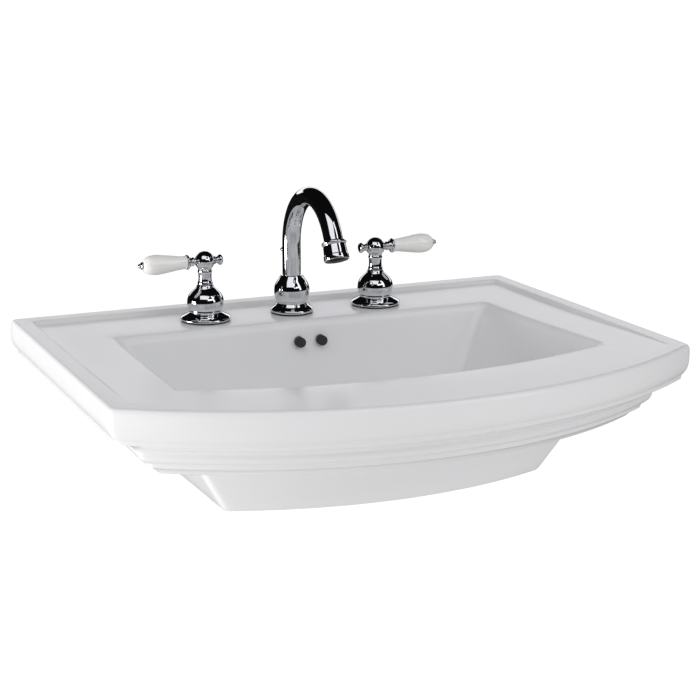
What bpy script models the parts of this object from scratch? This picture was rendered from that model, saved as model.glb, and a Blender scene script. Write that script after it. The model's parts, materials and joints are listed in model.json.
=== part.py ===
"""Wall-hung pedestal-sink basin with a widespread two-handle faucet and a pop-up drain.

+Z is up, +X is the right-hand side, and -Y is the front. The origin lies on the wall face of the
basin, on its centre line, level with the two hanger bolts. Every size below is in millimetres, and
MM turns it into metres. A "depth" is measured down from the top of the raised rim.
"""

from math import atan, atan2, cos, pi, radians, sin, sqrt, tan

import bmesh
import bpy
from mathutils import Matrix, Vector

MM = 0.001
SIDES = 16  # of a round piece, unless it says otherwise
GAP = 0.3  # clearance between pieces that touch
RUN = 0.4  # clearance between pieces that turn or slide

# Basin outline
RIM_Z = 95.0  # rim top above the hanger bolts
BACK_HALF = 301.5
SIDE_FLARE = 0.0248  # how much wider each side gets for each step forward
FRONT_REACH = 499.7  # wall to the middle of the bowed front
FRONT_RADIUS = 520.0
BASIN_HEIGHT = 137.7
CORNER_R = 10.0
BACK_CORNER_R = 4.0
TOP_EDGE_R = 5.5
CHINA = 12.0  # wall of the skirt and the wall face
ARC_STEPS = 16
CORNER_STEPS = 3

# Deck
DECK_DROP = 4.0
LEDGE_BACK = 22.0  # width of the raised rim along the wall
LEDGE_SIDE = 21.5
DECK_THICK = 12.0

# Bowl
BOWL_BACK = 117.0  # wall to the bowl's back edge
SIDE_RIM = 84.0
FRONT_RIM = 102.7
BOWL_FRONT_RADIUS = 598.0
BOWL_FLARE = 0.0426
BOWL_CHINA = 11.0
BACK_LEAN = radians(14)
SIDE_LEAN = radians(27)
FRONT_LEAN = radians(33)
FOOT_DEPTH = 118.0  # floor where the walls meet it
BOWL_CORNER_R = 9.0

# Lower body
HOPPER_TOP_SET = 88.5  # how far its sides stand in from the skirt
HOPPER_BOTTOM_SET = 126.0
HOPPER_TOP_FRONT_SET = 111.7
HOPPER_BOTTOM_FRONT_SET = 138.1
HOPPER_TOP_RADIUS = 561.0
HOPPER_BOTTOM_RADIUS = 446.0
HOPPER_SHOULDER = 76.5  # depth where the mouldings end and it begins
SOFFIT_FALL = 1.0  # the ledge under the mouldings slopes down to the lower body

# Wall fixing and overflow
BOLT_HALF_SPREAD = 101.6
BOLT_HOLE_R = 6.0
OVERFLOW_HALF_SPREAD = 12.7
OVERFLOW_R = 5.8
OVERFLOW_DEPTH = 25.5
CHANNEL_HALF = 22.0
CHANNEL_FROM_BOWL = 6.0
CHANNEL_DEEP = 7.0
CHANNEL_WALL = 5.5

# Faucet
FAUCET_Y = -72.0
HANDLE_HALF_SPREAD = 101.6
WASHER_THICK = 1.4
VALVE_R = 13.2
HANDLE_HOLE_R = VALVE_R + 2.8
STEM_R = 3.1
BALL_R = 10.8
LEVER_HEIGHT = 66.0  # lever axis above the deck
BELL_TOP = 40.4  # where the escutcheon ends and the turning hub starts, above the deck
BULB_TOP = 42.5  # top of the spout's base, above the deck
STUD_R = 2.6
TIP_SCREW_R = 1.6
TUBE_R = 10.2
TUBE_WALL = 1.6
TUBE_FOOT = 14.3  # lower end above the deck
ARCH_START = 77.5
ARCH_RADIUS = 61.0
ARCH_SWEEP = radians(155)
NOSE = 11.0  # straight end past the arch
ARCH_STEPS = 14
SHANK_R = 12.0
SPOUT_HOLE_R = SHANK_R + 8.5  # leaves room for the lift rod behind the shank
SHANK_WALL = 2.6
SUPPLY_R = 7.0
SUPPLY_DROP = 44.0
PORT_R = 7.5
PORT_DROP = 36.0  # valve outlet below the deck
TEE_DROP = 55.0
TEE_ARM = 20.0
HOSE_R = 4.5

# Drain and pop-up
DRAIN_Y = -200.0
DRAIN_DEPTH = 120.5
FLANGE_R = 31.5
FLANGE_THICK = 2.5
BODY_R = 20.5
DRAIN_HOLE_R = BODY_R + 2.0
BODY_WALL = 3.0
PIVOT_DEPTH = 166.0
PIVOT_ARM = 26.0  # drain axis to the pivot ball
PIVOT_BALL_R = 5.6
PIVOT_ROD_R = 2.5
PORT_BOSS_R = 11.0  # the drain body's side port for the pivot
TAIL_R = BODY_R - 4.6
TAIL_END = 184.5
LIFT_BEHIND = 17.2  # lift rod behind the spout's axis
LIFT_TRAVEL = 40.0
LIFT_R = 2.0
STRAP_BEHIND = 3.6
STRAP_THICK = 1.6
STOPPER_R = 19.0

DECK_Z = RIM_Z - DECK_DROP
UNDER_Z = DECK_Z - DECK_THICK
LIFT_Y = FAUCET_Y + LIFT_BEHIND
STRAP_Y = LIFT_Y + STRAP_BEHIND
PIVOT_Y = DRAIN_Y + PIVOT_ARM
PIVOT_Z = RIM_Z - PIVOT_DEPTH
PIVOT_TILT = -atan(LIFT_TRAVEL / 2 / (STRAP_Y - PIVOT_Y))
REST_CROSSING_Z = PIVOT_Z + (STRAP_Y - PIVOT_Y) * tan(PIVOT_TILT)
ROD_END_Z = PIVOT_Z - PIVOT_ARM * tan(PIVOT_TILT)
STOPPER_RISE = -2 * PIVOT_ARM * tan(PIVOT_TILT)


def clear_scene():
    for thing in list(bpy.data.objects):
        bpy.data.objects.remove(thing, do_unlink=True)
    parts = bpy.data.collections.new("pedestal_sink")
    helpers = bpy.data.collections.new("cutters")
    bpy.context.scene.collection.children.link(parts)
    bpy.context.scene.collection.children.link(helpers)
    return parts, helpers


PARTS, CUTTERS = clear_scene()


def material(name, color, roughness, metallic=0.0):
    made = bpy.data.materials.new(name)
    made.use_nodes = True
    shader = made.node_tree.nodes["Principled BSDF"]
    shader.inputs["Base Color"].default_value = (*color, 1.0)
    shader.inputs["Roughness"].default_value = roughness
    shader.inputs["Metallic"].default_value = metallic
    return made


CHINA_WHITE = material("vitreous_china", (0.86, 0.86, 0.87), 0.12)
CHROME = material("chrome", (0.80, 0.81, 0.83), 0.08, 1.0)
PORCELAIN = material("lever_porcelain", (0.90, 0.89, 0.86), 0.15)
BRASS = material("brass", (0.72, 0.55, 0.28), 0.3, 1.0)
RUBBER = material("black_rubber", (0.03, 0.03, 0.03), 0.8)
CERAMIC = material("disc_ceramic", (0.8, 0.79, 0.74), 0.25)
BRAID = material("steel_braid", (0.55, 0.56, 0.58), 0.4, 1.0)
PLASTIC = material("grey_plastic", (0.35, 0.36, 0.38), 0.5)


# Building blocks


def add_object(name, mesh, finish, helper=False, place=(0, 0, 0), turn=(0, 0, 0)):
    made = bpy.data.objects.new(name, mesh)
    made.location = Vector(place) * MM
    made.rotation_euler = turn
    if finish:
        mesh.materials.append(finish)
    (CUTTERS if helper else PARTS).objects.link(made)
    if helper:
        made.hide_render = True
        made.display_type = "WIRE"
    return made


def smooth(mesh):
    mesh.shade_smooth()
    mesh.set_sharp_from_angle(angle=radians(35))


def from_bmesh(name, shape, finish, helper=False):
    bmesh.ops.recalc_face_normals(shape, faces=shape.faces)
    bmesh.ops.scale(shape, vec=(MM, MM, MM), verts=shape.verts)
    mesh = bpy.data.meshes.new(name)
    shape.to_mesh(mesh)
    shape.free()
    smooth(mesh)
    return add_object(name, mesh, finish, helper)


def loft(name, rings, finish=None, helper=False):
    """A closed skin through rings that all have the same number of points."""
    shape = bmesh.new()
    rows = [[shape.verts.new(point) for point in ring] for ring in rings]
    for upper, lower in zip(rows, rows[1:]):
        for index in range(len(upper)):
            after = (index + 1) % len(upper)
            shape.faces.new((upper[index], upper[after], lower[after], lower[index]))
    shape.faces.new(rows[0])
    shape.faces.new(rows[-1])
    return from_bmesh(name, shape, finish, helper)


def turned(name, profile, finish, place, turn=(0, 0, 0), steps=SIDES):
    """A solid of revolution about local Z. The profile of (radius, height) runs down its outer side.

    A profile that starts and ends on the axis is left open. Any other one is a closed loop.
    """
    on_axis = profile[0][0] == 0 and profile[-1][0] == 0
    count = len(profile)
    edges = [(index, index + 1) for index in range(count - 1)]
    if not on_axis:
        edges.append((count - 1, 0))
    mesh = bpy.data.meshes.new(name)
    mesh.from_pydata([(radius * MM, 0, height * MM) for radius, height in profile], edges, [])
    made = add_object(name, mesh, finish, place=place, turn=turn)
    screw = made.modifiers.new("turn", "SCREW")
    screw.axis = "Z"
    screw.angle = 2 * pi
    screw.steps = steps
    screw.render_steps = steps
    screw.use_merge_vertices = True
    screw.merge_threshold = 0.00001
    screw.use_smooth_shade = True
    return made


def ring_profile(outer, inner, top, bottom):
    return [(outer, top), (outer, bottom), (inner, bottom), (inner, top)]


def pillar(name, radius, start, end, finish=None, helper=False, sides=SIDES, spin=0.0):
    """A cylinder, or a prism with few sides, between two points in space."""
    start, end = Vector(start), Vector(end)
    shape = bmesh.new()
    bmesh.ops.create_cone(
        shape, cap_ends=True, segments=sides, radius1=radius, radius2=radius, depth=(end - start).length
    )
    facing = (end - start).to_track_quat("Z", "Y").to_matrix().to_4x4()
    spot = Matrix.Translation((start + end) / 2) @ facing @ Matrix.Rotation(spin, 4, "Z")
    bmesh.ops.transform(shape, matrix=spot, verts=shape.verts)
    return from_bmesh(name, shape, finish, helper)


def block(name, low, high, finish=None, helper=False):
    low, high = Vector(low), Vector(high)
    shape = bmesh.new()
    bmesh.ops.create_cube(shape, size=1.0)
    bmesh.ops.scale(shape, vec=high - low, verts=shape.verts)
    bmesh.ops.translate(shape, vec=(low + high) / 2, verts=shape.verts)
    return from_bmesh(name, shape, finish, helper)


def slab(name, outline, half_width, finish=None, helper=False, middle=0.0):
    """A side outline of (y, z) points, as thick along X as twice half_width."""
    rings = [[(middle + side * half_width, y, z) for y, z in outline] for side in (-1, 1)]
    return loft(name, rings, finish, helper)


def apply_boolean(target, other, operation="DIFFERENCE"):
    step = target.modifiers.new(other.name, "BOOLEAN")
    step.operation = operation
    step.object = other
    step.solver = "EXACT"


def cut(target, *others):
    for other in others:
        apply_boolean(target, other)


def join(target, *others):
    for other in others:
        apply_boolean(target, other, "UNION")


def swept(name, points, radius, finish, helper=False, roundness=3):
    """A round bar along points, made a closed mesh."""
    path = bpy.data.curves.new(name, "CURVE")
    path.dimensions = "3D"
    path.bevel_depth = radius * MM
    path.bevel_resolution = roundness
    path.use_fill_caps = True
    spline = path.splines.new("POLY")
    spline.points.add(len(points) - 1)
    for spot, point in zip(spline.points, points):
        spot.co = (*(Vector(point) * MM), 1.0)
    guide = bpy.data.objects.new(name + "_path", path)
    CUTTERS.objects.link(guide)
    graph = bpy.context.evaluated_depsgraph_get()
    mesh = bpy.data.meshes.new_from_object(guide.evaluated_get(graph))
    bpy.data.objects.remove(guide, do_unlink=True)
    shape = bmesh.new()
    shape.from_mesh(mesh)
    bmesh.ops.remove_doubles(shape, verts=shape.verts, dist=0.00001)
    bmesh.ops.recalc_face_normals(shape, faces=shape.faces)
    shape.to_mesh(mesh)
    shape.free()
    smooth(mesh)
    mesh.name = name
    return add_object(name, mesh, finish, helper)


def curve_through(knots, steps):
    """Points on a smooth curve through the knots (Catmull-Rom)."""
    knots = [Vector(knot) for knot in knots]
    padded = [2 * knots[0] - knots[1], *knots, 2 * knots[-1] - knots[-2]]
    points = []
    for p0, p1, p2, p3 in zip(padded, padded[1:], padded[2:], padded[3:]):
        for step in range(steps):
            t = step / steps
            bend = (2 * p0 - 5 * p1 + 4 * p2 - p3) * t * t + (3 * p1 - p0 - 3 * p2 + p3) * t**3
            points.append(p1 + ((p2 - p0) * t + bend) / 2)
    return [*points, knots[-1]]


# Basin


def plan(back_half, flare, reach, radius, corner, back=0.0, back_corner=BACK_CORNER_R):
    """Outline points from above: flat back, straight flaring sides, bowed front, rounded corners."""
    tilt = atan(flare)
    arc_y = radius - reach
    back_y = -back - back_corner
    back_x = back_half + flare * back_corner - back_corner / cos(tilt)
    side = back_half - flare * back - corner / cos(tilt)
    grown = 1 + flare**2
    middle = side * flare + arc_y
    inside = side**2 + arc_y**2 - (radius - corner) ** 2
    front_y = (middle - sqrt(middle**2 - grown * inside)) / grown
    front_x = side - flare * front_y
    turn = atan2(front_y - arc_y, front_x)
    half = []
    for step in range(CORNER_STEPS + 1):
        angle = pi / 2 + (tilt - pi / 2) * step / CORNER_STEPS
        half.append((back_x + back_corner * cos(angle), back_y + back_corner * sin(angle)))
    for step in range(CORNER_STEPS + 1):
        angle = tilt + (turn - tilt) * step / CORNER_STEPS
        half.append((front_x + corner * cos(angle), front_y + corner * sin(angle)))
    for step in range(1, ARC_STEPS // 2):
        angle = turn + (-pi / 2 - turn) * step / (ARC_STEPS // 2)
        half.append((radius * cos(angle), arc_y + radius * sin(angle)))
    return [*half, (0.0, -reach), *((-x, y) for x, y in reversed(half))]


def at_depth(outline, depth):
    return [(x, y, RIM_Z - depth) for x, y in outline]


def skirt_ring(depth, inset, back=0.0):
    outline = plan(
        BACK_HALF - inset, SIDE_FLARE, FRONT_REACH - inset, FRONT_RADIUS - inset, CORNER_R, back
    )
    return at_depth(outline, depth)


def hopper_ring(depth, inset=0.0, back=0.0):
    """The lower body tapers from its shoulder, just under the mouldings, to the pedestal seat."""
    share = (depth - HOPPER_SHOULDER) / (BASIN_HEIGHT - HOPPER_SHOULDER)
    side_set = HOPPER_TOP_SET + (HOPPER_BOTTOM_SET - HOPPER_TOP_SET) * share
    front_set = HOPPER_TOP_FRONT_SET + (HOPPER_BOTTOM_FRONT_SET - HOPPER_TOP_FRONT_SET) * share
    radius = HOPPER_TOP_RADIUS + (HOPPER_BOTTOM_RADIUS - HOPPER_TOP_RADIUS) * share
    outline = plan(
        BACK_HALF - side_set - inset,
        0.0,
        FRONT_REACH - front_set - inset,
        radius - inset,
        CORNER_R,
        back,
    )
    return at_depth(outline, depth)


# Mouldings of the skirt, from the top edge down: (depth, inset from the widest outline)
SKIRT = [
    (18.0, 0.0),
    (24.0, 1.0),
    (30.0, 5.0),
    (35.0, 6.5),
    (38.0, 14.0),
    (45.0, 28.0),
    (51.0, 32.5),
    (60.0, 38.0),
    (65.0, 43.0),
    (68.0, 48.0),
    (74.0, 53.0),
    (HOPPER_SHOULDER, 56.0),
]
# The same mouldings seen from inside the hollow underside
HOLLOW = [(66.0, 68.0), (57.0, 51.0), (46.0, 42.0), (37.0, 28.0), (30.0, 19.0)]


def bowl_ring(depth, inward, grow=0.0):
    """The bowl's inside at a depth, drawn in by its foot, or grown to the outside of its wall."""
    fall = depth - DECK_DROP
    outline = plan(
        BACK_HALF - SIDE_RIM - fall * tan(SIDE_LEAN) - inward + grow,
        BOWL_FLARE,
        FRONT_REACH - FRONT_RIM - fall * tan(FRONT_LEAN) - inward + grow,
        BOWL_FRONT_RADIUS + grow,
        BOWL_CORNER_R + 0.1 * fall + grow,
        BOWL_BACK + fall * tan(BACK_LEAN) + inward - grow,
        BOWL_CORNER_R + 0.1 * fall + grow,
    )
    return at_depth(outline, depth + (grow if inward > 0 else 0))


def towards_drain(ring, share, depth):
    """A ring of the floor, part of the way from the walls' foot to the round drain recess."""
    points = []
    for x, y, _ in ring:
        spoke = Vector((x, y - DRAIN_Y))
        circle = spoke.normalized() * (FLANGE_R + 1.0)
        spot = spoke.lerp(circle, share)
        points.append((spot.x, DRAIN_Y + spot.y, RIM_Z - depth))
    return points


# How the wall curves into the floor: (depth, inward)
BOWL_FOOT = [(92.0, 0.5), (103.0, 4.0), (111.0, 10.0), (116.0, 18.0), (FOOT_DEPTH, 28.0)]


def bowl_rings(top_rings, grow=0.0):
    rings = top_rings + [bowl_ring(depth, inward, grow) for depth, inward in BOWL_FOOT]
    foot = rings[-1]
    fall = DRAIN_DEPTH - FOOT_DEPTH
    for share in (0.5, 1.0):
        rings.append(towards_drain(foot, share, FOOT_DEPTH + grow + fall * share))
    return rings


def bowl_back(depth):
    """Y of the bowl's back wall at a depth."""
    return -BOWL_BACK - (depth - DECK_DROP) * tan(BACK_LEAN)


def channel_outline(grow):
    """Side outline of the overflow's way down behind the bowl and under its floor to the drain."""
    near = CHANNEL_FROM_BOWL - grow
    far = CHANNEL_FROM_BOWL + CHANNEL_DEEP + grow
    top = OVERFLOW_DEPTH - OVERFLOW_R - 2.0 - grow
    ceiling = DRAIN_DEPTH + 7.5 - grow
    floor = ceiling + 4.5 + 2 * grow
    if grow == 0:
        drain_side = DRAIN_Y + DRAIN_HOLE_R - 6.0
    else:
        drain_side = DRAIN_Y
    return [
        (bowl_back(top) + near, RIM_Z - top),
        (bowl_back(top) + far, RIM_Z - top),
        (bowl_back(floor) + far, RIM_Z - floor),
        (drain_side, RIM_Z - floor),
        (drain_side, RIM_Z - ceiling),
        (bowl_back(ceiling) + near, RIM_Z - ceiling),
    ]


def make_recess():
    """The deck lies below the rim behind and beside the bowl, and rises to meet the front edge."""
    rings = []
    for forward, drop in (
        (LEDGE_BACK, DECK_DROP),
        (BOWL_BACK, DECK_DROP),
        (FRONT_REACH, 0.0),
    ):
        half = BACK_HALF - LEDGE_SIDE + SIDE_FLARE * forward
        low, high = RIM_Z - drop, RIM_Z + 20.0
        corners = ((-half, low), (half, low), (half, high), (-half, high))
        rings.append([(x, -forward, z) for x, z in corners])
    return loft("deck_recess", rings, helper=True)


def make_basin():
    edge = []
    for step in range(4):
        angle = radians(30) * step
        edge.append((TOP_EDGE_R * (1 - sin(angle)), TOP_EDGE_R * (1 - cos(angle))))
    rings = [skirt_ring(depth, inset) for inset, depth in edge]
    rings += [skirt_ring(depth, inset) for depth, inset in SKIRT]
    rings += [hopper_ring(HOPPER_SHOULDER + SOFFIT_FALL), hopper_ring(BASIN_HEIGHT)]
    basin = loft("basin", rings, CHINA_WHITE)

    hollow = [hopper_ring(BASIN_HEIGHT + 10.0, CHINA, CHINA)]
    hollow.append(hopper_ring(HOPPER_SHOULDER - 10.0, CHINA, CHINA))
    hollow += [skirt_ring(depth, inset, CHINA) for depth, inset in HOLLOW]
    hollow.append(skirt_ring(DECK_DROP + DECK_THICK, 15.0, CHINA))
    underside = loft("underside", hollow, helper=True)

    wall_top = [bowl_ring(DECK_DROP + 4.0, 0.0, BOWL_CHINA)]
    shell = loft("bowl_outside", bowl_rings(wall_top, BOWL_CHINA), helper=True)
    boss_top = RIM_Z - FOOT_DEPTH - 2.0
    boss = pillar(
        "drain_boss",
        FLANGE_R + 9.0,
        (0, DRAIN_Y, boss_top),
        (0, DRAIN_Y, RIM_Z - BASIN_HEIGHT),
        helper=True,
        sides=24,
    )
    hump = slab("overflow_hump", channel_outline(CHANNEL_WALL), CHANNEL_HALF + CHANNEL_WALL, helper=True)
    join(shell, boss, hump)
    cut(underside, shell)

    lip = [
        bowl_ring(-10.0, -7.0),
        bowl_ring(DECK_DROP - 0.2, -2.5),
        bowl_ring(DECK_DROP + 1.0, -1.0),
        bowl_ring(DECK_DROP + 4.0, 0.0),
    ]
    bowl = loft("bowl_inside", bowl_rings(lip), helper=True)
    recess_top = RIM_Z - FOOT_DEPTH + 10.0
    flange_seat = RIM_Z - DRAIN_DEPTH - FLANGE_THICK
    flange_recess = pillar(
        "flange_recess",
        FLANGE_R + 0.8,
        (0, DRAIN_Y, recess_top),
        (0, DRAIN_Y, flange_seat),
        helper=True,
        sides=24,
    )
    drain_hole = pillar(
        "drain_hole",
        DRAIN_HOLE_R,
        (0, DRAIN_Y, recess_top),
        (0, DRAIN_Y, RIM_Z - BASIN_HEIGHT - 10.0),
        helper=True,
        sides=24,
    )
    channel = slab("overflow_channel", channel_outline(0.0), CHANNEL_HALF, helper=True)
    cut(basin, underside, make_recess(), bowl, flange_recess, drain_hole, channel)
    for side, label in ((-1, "left"), (1, "right")):
        hole_y = bowl_back(OVERFLOW_DEPTH)
        overflow = pillar(
            "overflow_hole_" + label,
            OVERFLOW_R,
            (side * OVERFLOW_HALF_SPREAD, hole_y - 8.0, RIM_Z - OVERFLOW_DEPTH),
            (side * OVERFLOW_HALF_SPREAD, hole_y + CHANNEL_FROM_BOWL + 4.0, RIM_Z - OVERFLOW_DEPTH),
            helper=True,
            sides=20,
        )
        bolt = pillar(
            "bolt_hole_" + label,
            BOLT_HOLE_R,
            (side * BOLT_HALF_SPREAD, 5.0, 0),
            (side * BOLT_HALF_SPREAD, -CHINA - 5.0, 0),
            helper=True,
            sides=20,
        )
        tap = pillar(
            "handle_hole_" + label,
            HANDLE_HOLE_R,
            (side * HANDLE_HALF_SPREAD, FAUCET_Y, DECK_Z + 5.0),
            (side * HANDLE_HALF_SPREAD, FAUCET_Y, UNDER_Z - 5.0),
            helper=True,
            sides=20,
        )
        cut(basin, overflow, bolt, tap)
    spout_hole = pillar(
        "spout_hole",
        SPOUT_HOLE_R,
        (0, FAUCET_Y, DECK_Z + 5.0),
        (0, FAUCET_Y, UNDER_Z - 5.0),
        helper=True,
        sides=24,
    )
    cut(basin, spout_hole)
    return basin


# Faucet. Heights in profiles are above the deck.

FLANGE_BOTTOM = WASHER_THICK + 2 * GAP

ESCUTCHEON = [
    (8.4, BELL_TOP),
    (9.2, 38.2),
    (14.0, 33.2),
    (18.6, 28.0),
    (20.0, 21.0),
    (19.2, 13.4),
    (18.2, 10.6),
    (20.8, 7.8),
    (26.8, 4.9),
    (28.0, 3.6),
    (28.0, FLANGE_BOTTOM),
]

SPOUT_BASE = [
    (12.4, BULB_TOP),
    (12.9, 40.4),
    (16.6, 35.6),
    (19.4, 28.0),
    (19.2, 20.0),
    (17.5, 12.6),
    (18.6, 8.6),
    (23.2, 5.4),
    (24.0, 4.0),
    (24.0, FLANGE_BOTTOM),
]


def handle(label, side):
    """One side of the faucet. side is -1 for hot, on the left, and +1 for cold."""
    axis = (side * HANDLE_HALF_SPREAD, FAUCET_Y, DECK_Z)
    outward = (0, side * pi / 2, 0)
    inward = (0, -side * pi / 2, 0)
    lever = (axis[0], axis[1], DECK_Z + LEVER_HEIGHT)

    def fixed(piece, profile, finish, steps=SIDES):
        return turned(f"{label}_{piece}", profile, finish, axis, steps=steps)

    neck_r = STEM_R + 3.4
    bore = [(14.5, FLANGE_BOTTOM), (14.5, 16.0), (12.0, 24.0), (neck_r, 31.0), (neck_r, BELL_TOP)]
    fixed("escutcheon", ESCUTCHEON + bore, CHROME)
    fixed("escutcheon_gasket", ring_profile(26.6, VALVE_R + 3.0, WASHER_THICK + GAP, GAP), RUBBER)

    body = fixed("valve_body", valve_body_profile(), BRASS)
    port_z = DECK_Z - PORT_DROP
    start = (axis[0] - side * (VALVE_R - 5.0), FAUCET_Y, port_z)
    port_end = (axis[0] - side * (VALVE_R + 9.0), FAUCET_Y, port_z)
    port = pillar(f"{label}_port", PORT_R, start, port_end, helper=True, sides=20)
    past_end = (axis[0] - side * (VALVE_R + 12.0), FAUCET_Y, port_z)
    inside = (axis[0], FAUCET_Y, port_z)
    port_bore = pillar(f"{label}_port_bore", PORT_R - 3.0, inside, past_end, helper=True, sides=16)
    join(body, port)
    cut(body, port_bore)

    seat = ring_profile(7.6, 2.4, -15.3 - GAP, -17.4)
    fixed("seat_disc", seat, CERAMIC)
    under = -DECK_THICK
    fixed("deck_washer", ring_profile(23.0, VALVE_R + GAP, under - GAP, under - 3.0), RUBBER)
    nut_top = under - 3.0 - GAP
    nut(f"{label}_lock_nut", 20.0, VALVE_R + GAP, (axis[0], axis[1], DECK_Z + nut_top), 8.0, BRASS)

    stem = [(0, 50.0), (STEM_R, 50.0), (STEM_R, -12.0), (7.4, -12.3), (7.4, -15.3), (0, -15.3)]
    fixed("valve_stem", stem, BRASS, 12)
    fixed("hub", hub_profile(), CHROME)
    hub = bpy.data.objects[f"{label}_hub"]
    cross = pillar(
        f"{label}_hub_cross_bore",
        STUD_R + GAP,
        Vector(lever) - Vector((BALL_R + 4.0, 0, 0)),
        Vector(lever) + Vector((BALL_R + 4.0, 0, 0)),
        helper=True,
        sides=16,
    )
    screw_z = DECK_Z + 45.0
    screw_hole = pillar(
        f"{label}_set_screw_hole",
        1.5 + GAP,
        (axis[0], axis[1] + 1.0, screw_z),
        (axis[0], axis[1] + 12.0, screw_z),
        helper=True,
        sides=12,
    )
    cut(hub, cross, screw_hole)
    reach = STEM_R + GAP
    screw = [(0, 7.1), (1.5, 7.1), (1.5, reach), (0, reach)]
    turned(f"{label}_set_screw", screw, BRASS, (axis[0], axis[1], screw_z), (-pi / 2, 0, 0), 12)

    collar = [
        (0, 21.0),
        (8.0, 21.0),
        (8.0, 19.6),
        (3.6, 13.0),
        (3.6, BALL_R + GAP),
        (STUD_R, BALL_R + GAP),
        (STUD_R, 4.5),
        (0, 4.5),
    ]
    arm = turned(f"{label}_lever_collar", collar, CHROME, lever, outward)
    screw_bore = pillar(
        f"{label}_lever_screw_bore",
        TIP_SCREW_R + GAP,
        Vector(lever) + Vector((side * 12.0, 0, 0)),
        Vector(lever) + Vector((side * 25.0, 0, 0)),
        helper=True,
        sides=12,
    )
    cut(arm, screw_bore)
    bore = TIP_SCREW_R + 0.8
    grip = [
        (5.2, 70.2),
        (9.2, 65.6),
        (10.9, 56.5),
        (9.7, 44.0),
        (7.3, 24.0),
        (7.6, 21.0 + GAP),
        (bore, 21.0 + GAP),
        (bore, 70.2),
    ]
    turned(f"{label}_lever_grip", grip, PORCELAIN, lever, outward)
    tip = [
        (0, 75.6),
        (2.8, 74.4),
        (2.3, 72.0),
        (4.2, 71.4),
        (4.2, 70.2 + GAP),
        (TIP_SCREW_R, 70.2 + GAP),
        (TIP_SCREW_R, 13.0),
        (0, 13.0),
    ]
    turned(f"{label}_lever_tip", tip, CHROME, lever, outward, 10)
    stub = [
        (0, 20.6),
        (3.0, 20.0),
        (5.6, 18.4),
        (5.6, 15.8),
        (3.8, BALL_R + GAP),
        (STUD_R, BALL_R + GAP),
        (STUD_R, 4.5),
        (0, 4.5),
    ]
    turned(f"{label}_counter_stub", stub, CHROME, lever, inward, 12)
    connecting_hose(label, side)


def valve_body_profile():
    """Brass body: bonnet above the deck, thread through it, chamber for the discs, inlet below."""
    chamber = -17.4 - GAP
    return [
        (10.0, 19.0),
        (10.0, 2.0),
        (VALVE_R, 0.0),
        (VALVE_R, -46.0),
        (10.4, -48.0),
        (10.4, -72.0),
        (6.0, -72.0),
        (6.0, chamber - 4.0),
        (5.0, chamber),
        (8.0, chamber),
        (8.0, -11.8),
        (STEM_R + RUN, -11.8),
        (STEM_R + RUN, 19.0),
    ]


def hub_profile():
    """Neck and ball that turn with the stem."""
    bottom = BELL_TOP + RUN
    ball = []
    for step in range(7):
        angle = pi / 2 - radians(135) * step / 6
        ball.append((BALL_R * cos(angle), LEVER_HEIGHT + BALL_R * sin(angle)))
    ball[0] = (0, LEVER_HEIGHT + BALL_R)
    neck = [(7.2, 57.0), (7.8, 55.4), (7.8, 53.4), (7.3, 51.4), (7.3, 44.2), (8.0, 42.4), (8.0, bottom)]
    inside = [(STEM_R + GAP, bottom), (STEM_R + GAP, 51.0), (0, 51.0)]
    return ball + neck + inside


def nut(name, radius, bore, place, height, finish):
    """A hexagon nut hanging below its place, with two flats facing the front and the back."""
    x, y, top = place
    made = pillar(name, radius, (x, y, top - height), (x, y, top), finish, sides=6, spin=pi / 6)
    hole = pillar(name + "_bore", bore, (x, y, top - height - 2), (x, y, top + 2), helper=True)
    cut(made, hole)
    return made


def side_nut(name, start, end, radius, bore, wall_bore, wall):
    """A cap nut along X: open towards start, with a thinner-bored end wall at end."""
    start, end = Vector(start), Vector(end)
    way = (end - start).normalized()
    made = pillar(name, radius, start, end, CHROME, sides=6)
    cavity = pillar(name + "_cavity", bore, start - way, end - way * wall, helper=True, sides=20)
    opening = pillar(name + "_opening", wall_bore, start, end + way, helper=True, sides=20)
    cut(made, cavity, opening)
    return made


def connecting_hose(label, side):
    """Braided hose from a valve's outlet to the tee under the spout, with a cap nut at each end."""
    valve_x = HANDLE_HALF_SPREAD - VALVE_R - 9.0
    tee_x = TEE_ARM
    port_z, tee_z = DECK_Z - PORT_DROP, DECK_Z - TEE_DROP
    knots = [
        (valve_x - GAP, port_z),
        (valve_x - 7.0, port_z),
        (valve_x - 16.0, port_z - 2.5),
        ((valve_x + tee_x) / 2, (port_z + tee_z) / 2 - 2.0),
        (tee_x + 16.0, tee_z - 1.0),
        (tee_x + 7.0, tee_z),
        (tee_x + GAP, tee_z),
    ]
    points = curve_through([(side * x, FAUCET_Y, z) for x, z in knots], 3)
    swept(f"{label}_hose", points, HOSE_R, BRAID, roundness=2)
    ends = (("valve", valve_x, -1, port_z), ("tee", tee_x, 1, tee_z))
    for end, x, way, z in ends:
        side_nut(
            f"{label}_hose_nut_{end}",
            (side * (x - way * 6.0), FAUCET_Y, z),
            (side * (x + way * 4.0), FAUCET_Y, z),
            PORT_R + 2.0,
            PORT_R + GAP,
            HOSE_R + GAP,
            4.0 - GAP,
        )


def arch_points(foot, nose=NOSE):
    """The gooseneck's centre line: up from foot, over towards the bowl, and straight at its end."""
    points = [(0, FAUCET_Y, DECK_Z + foot), (0, FAUCET_Y, DECK_Z + ARCH_START)]
    for step in range(1, ARCH_STEPS + 1):
        angle = ARCH_SWEEP * step / ARCH_STEPS
        y = FAUCET_Y - ARCH_RADIUS * (1 - cos(angle))
        points.append((0, y, DECK_Z + ARCH_START + ARCH_RADIUS * sin(angle)))
    points.append(Vector(points[-1]) + Vector((0, -sin(ARCH_SWEEP), cos(ARCH_SWEEP))) * nose)
    return points


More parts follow.
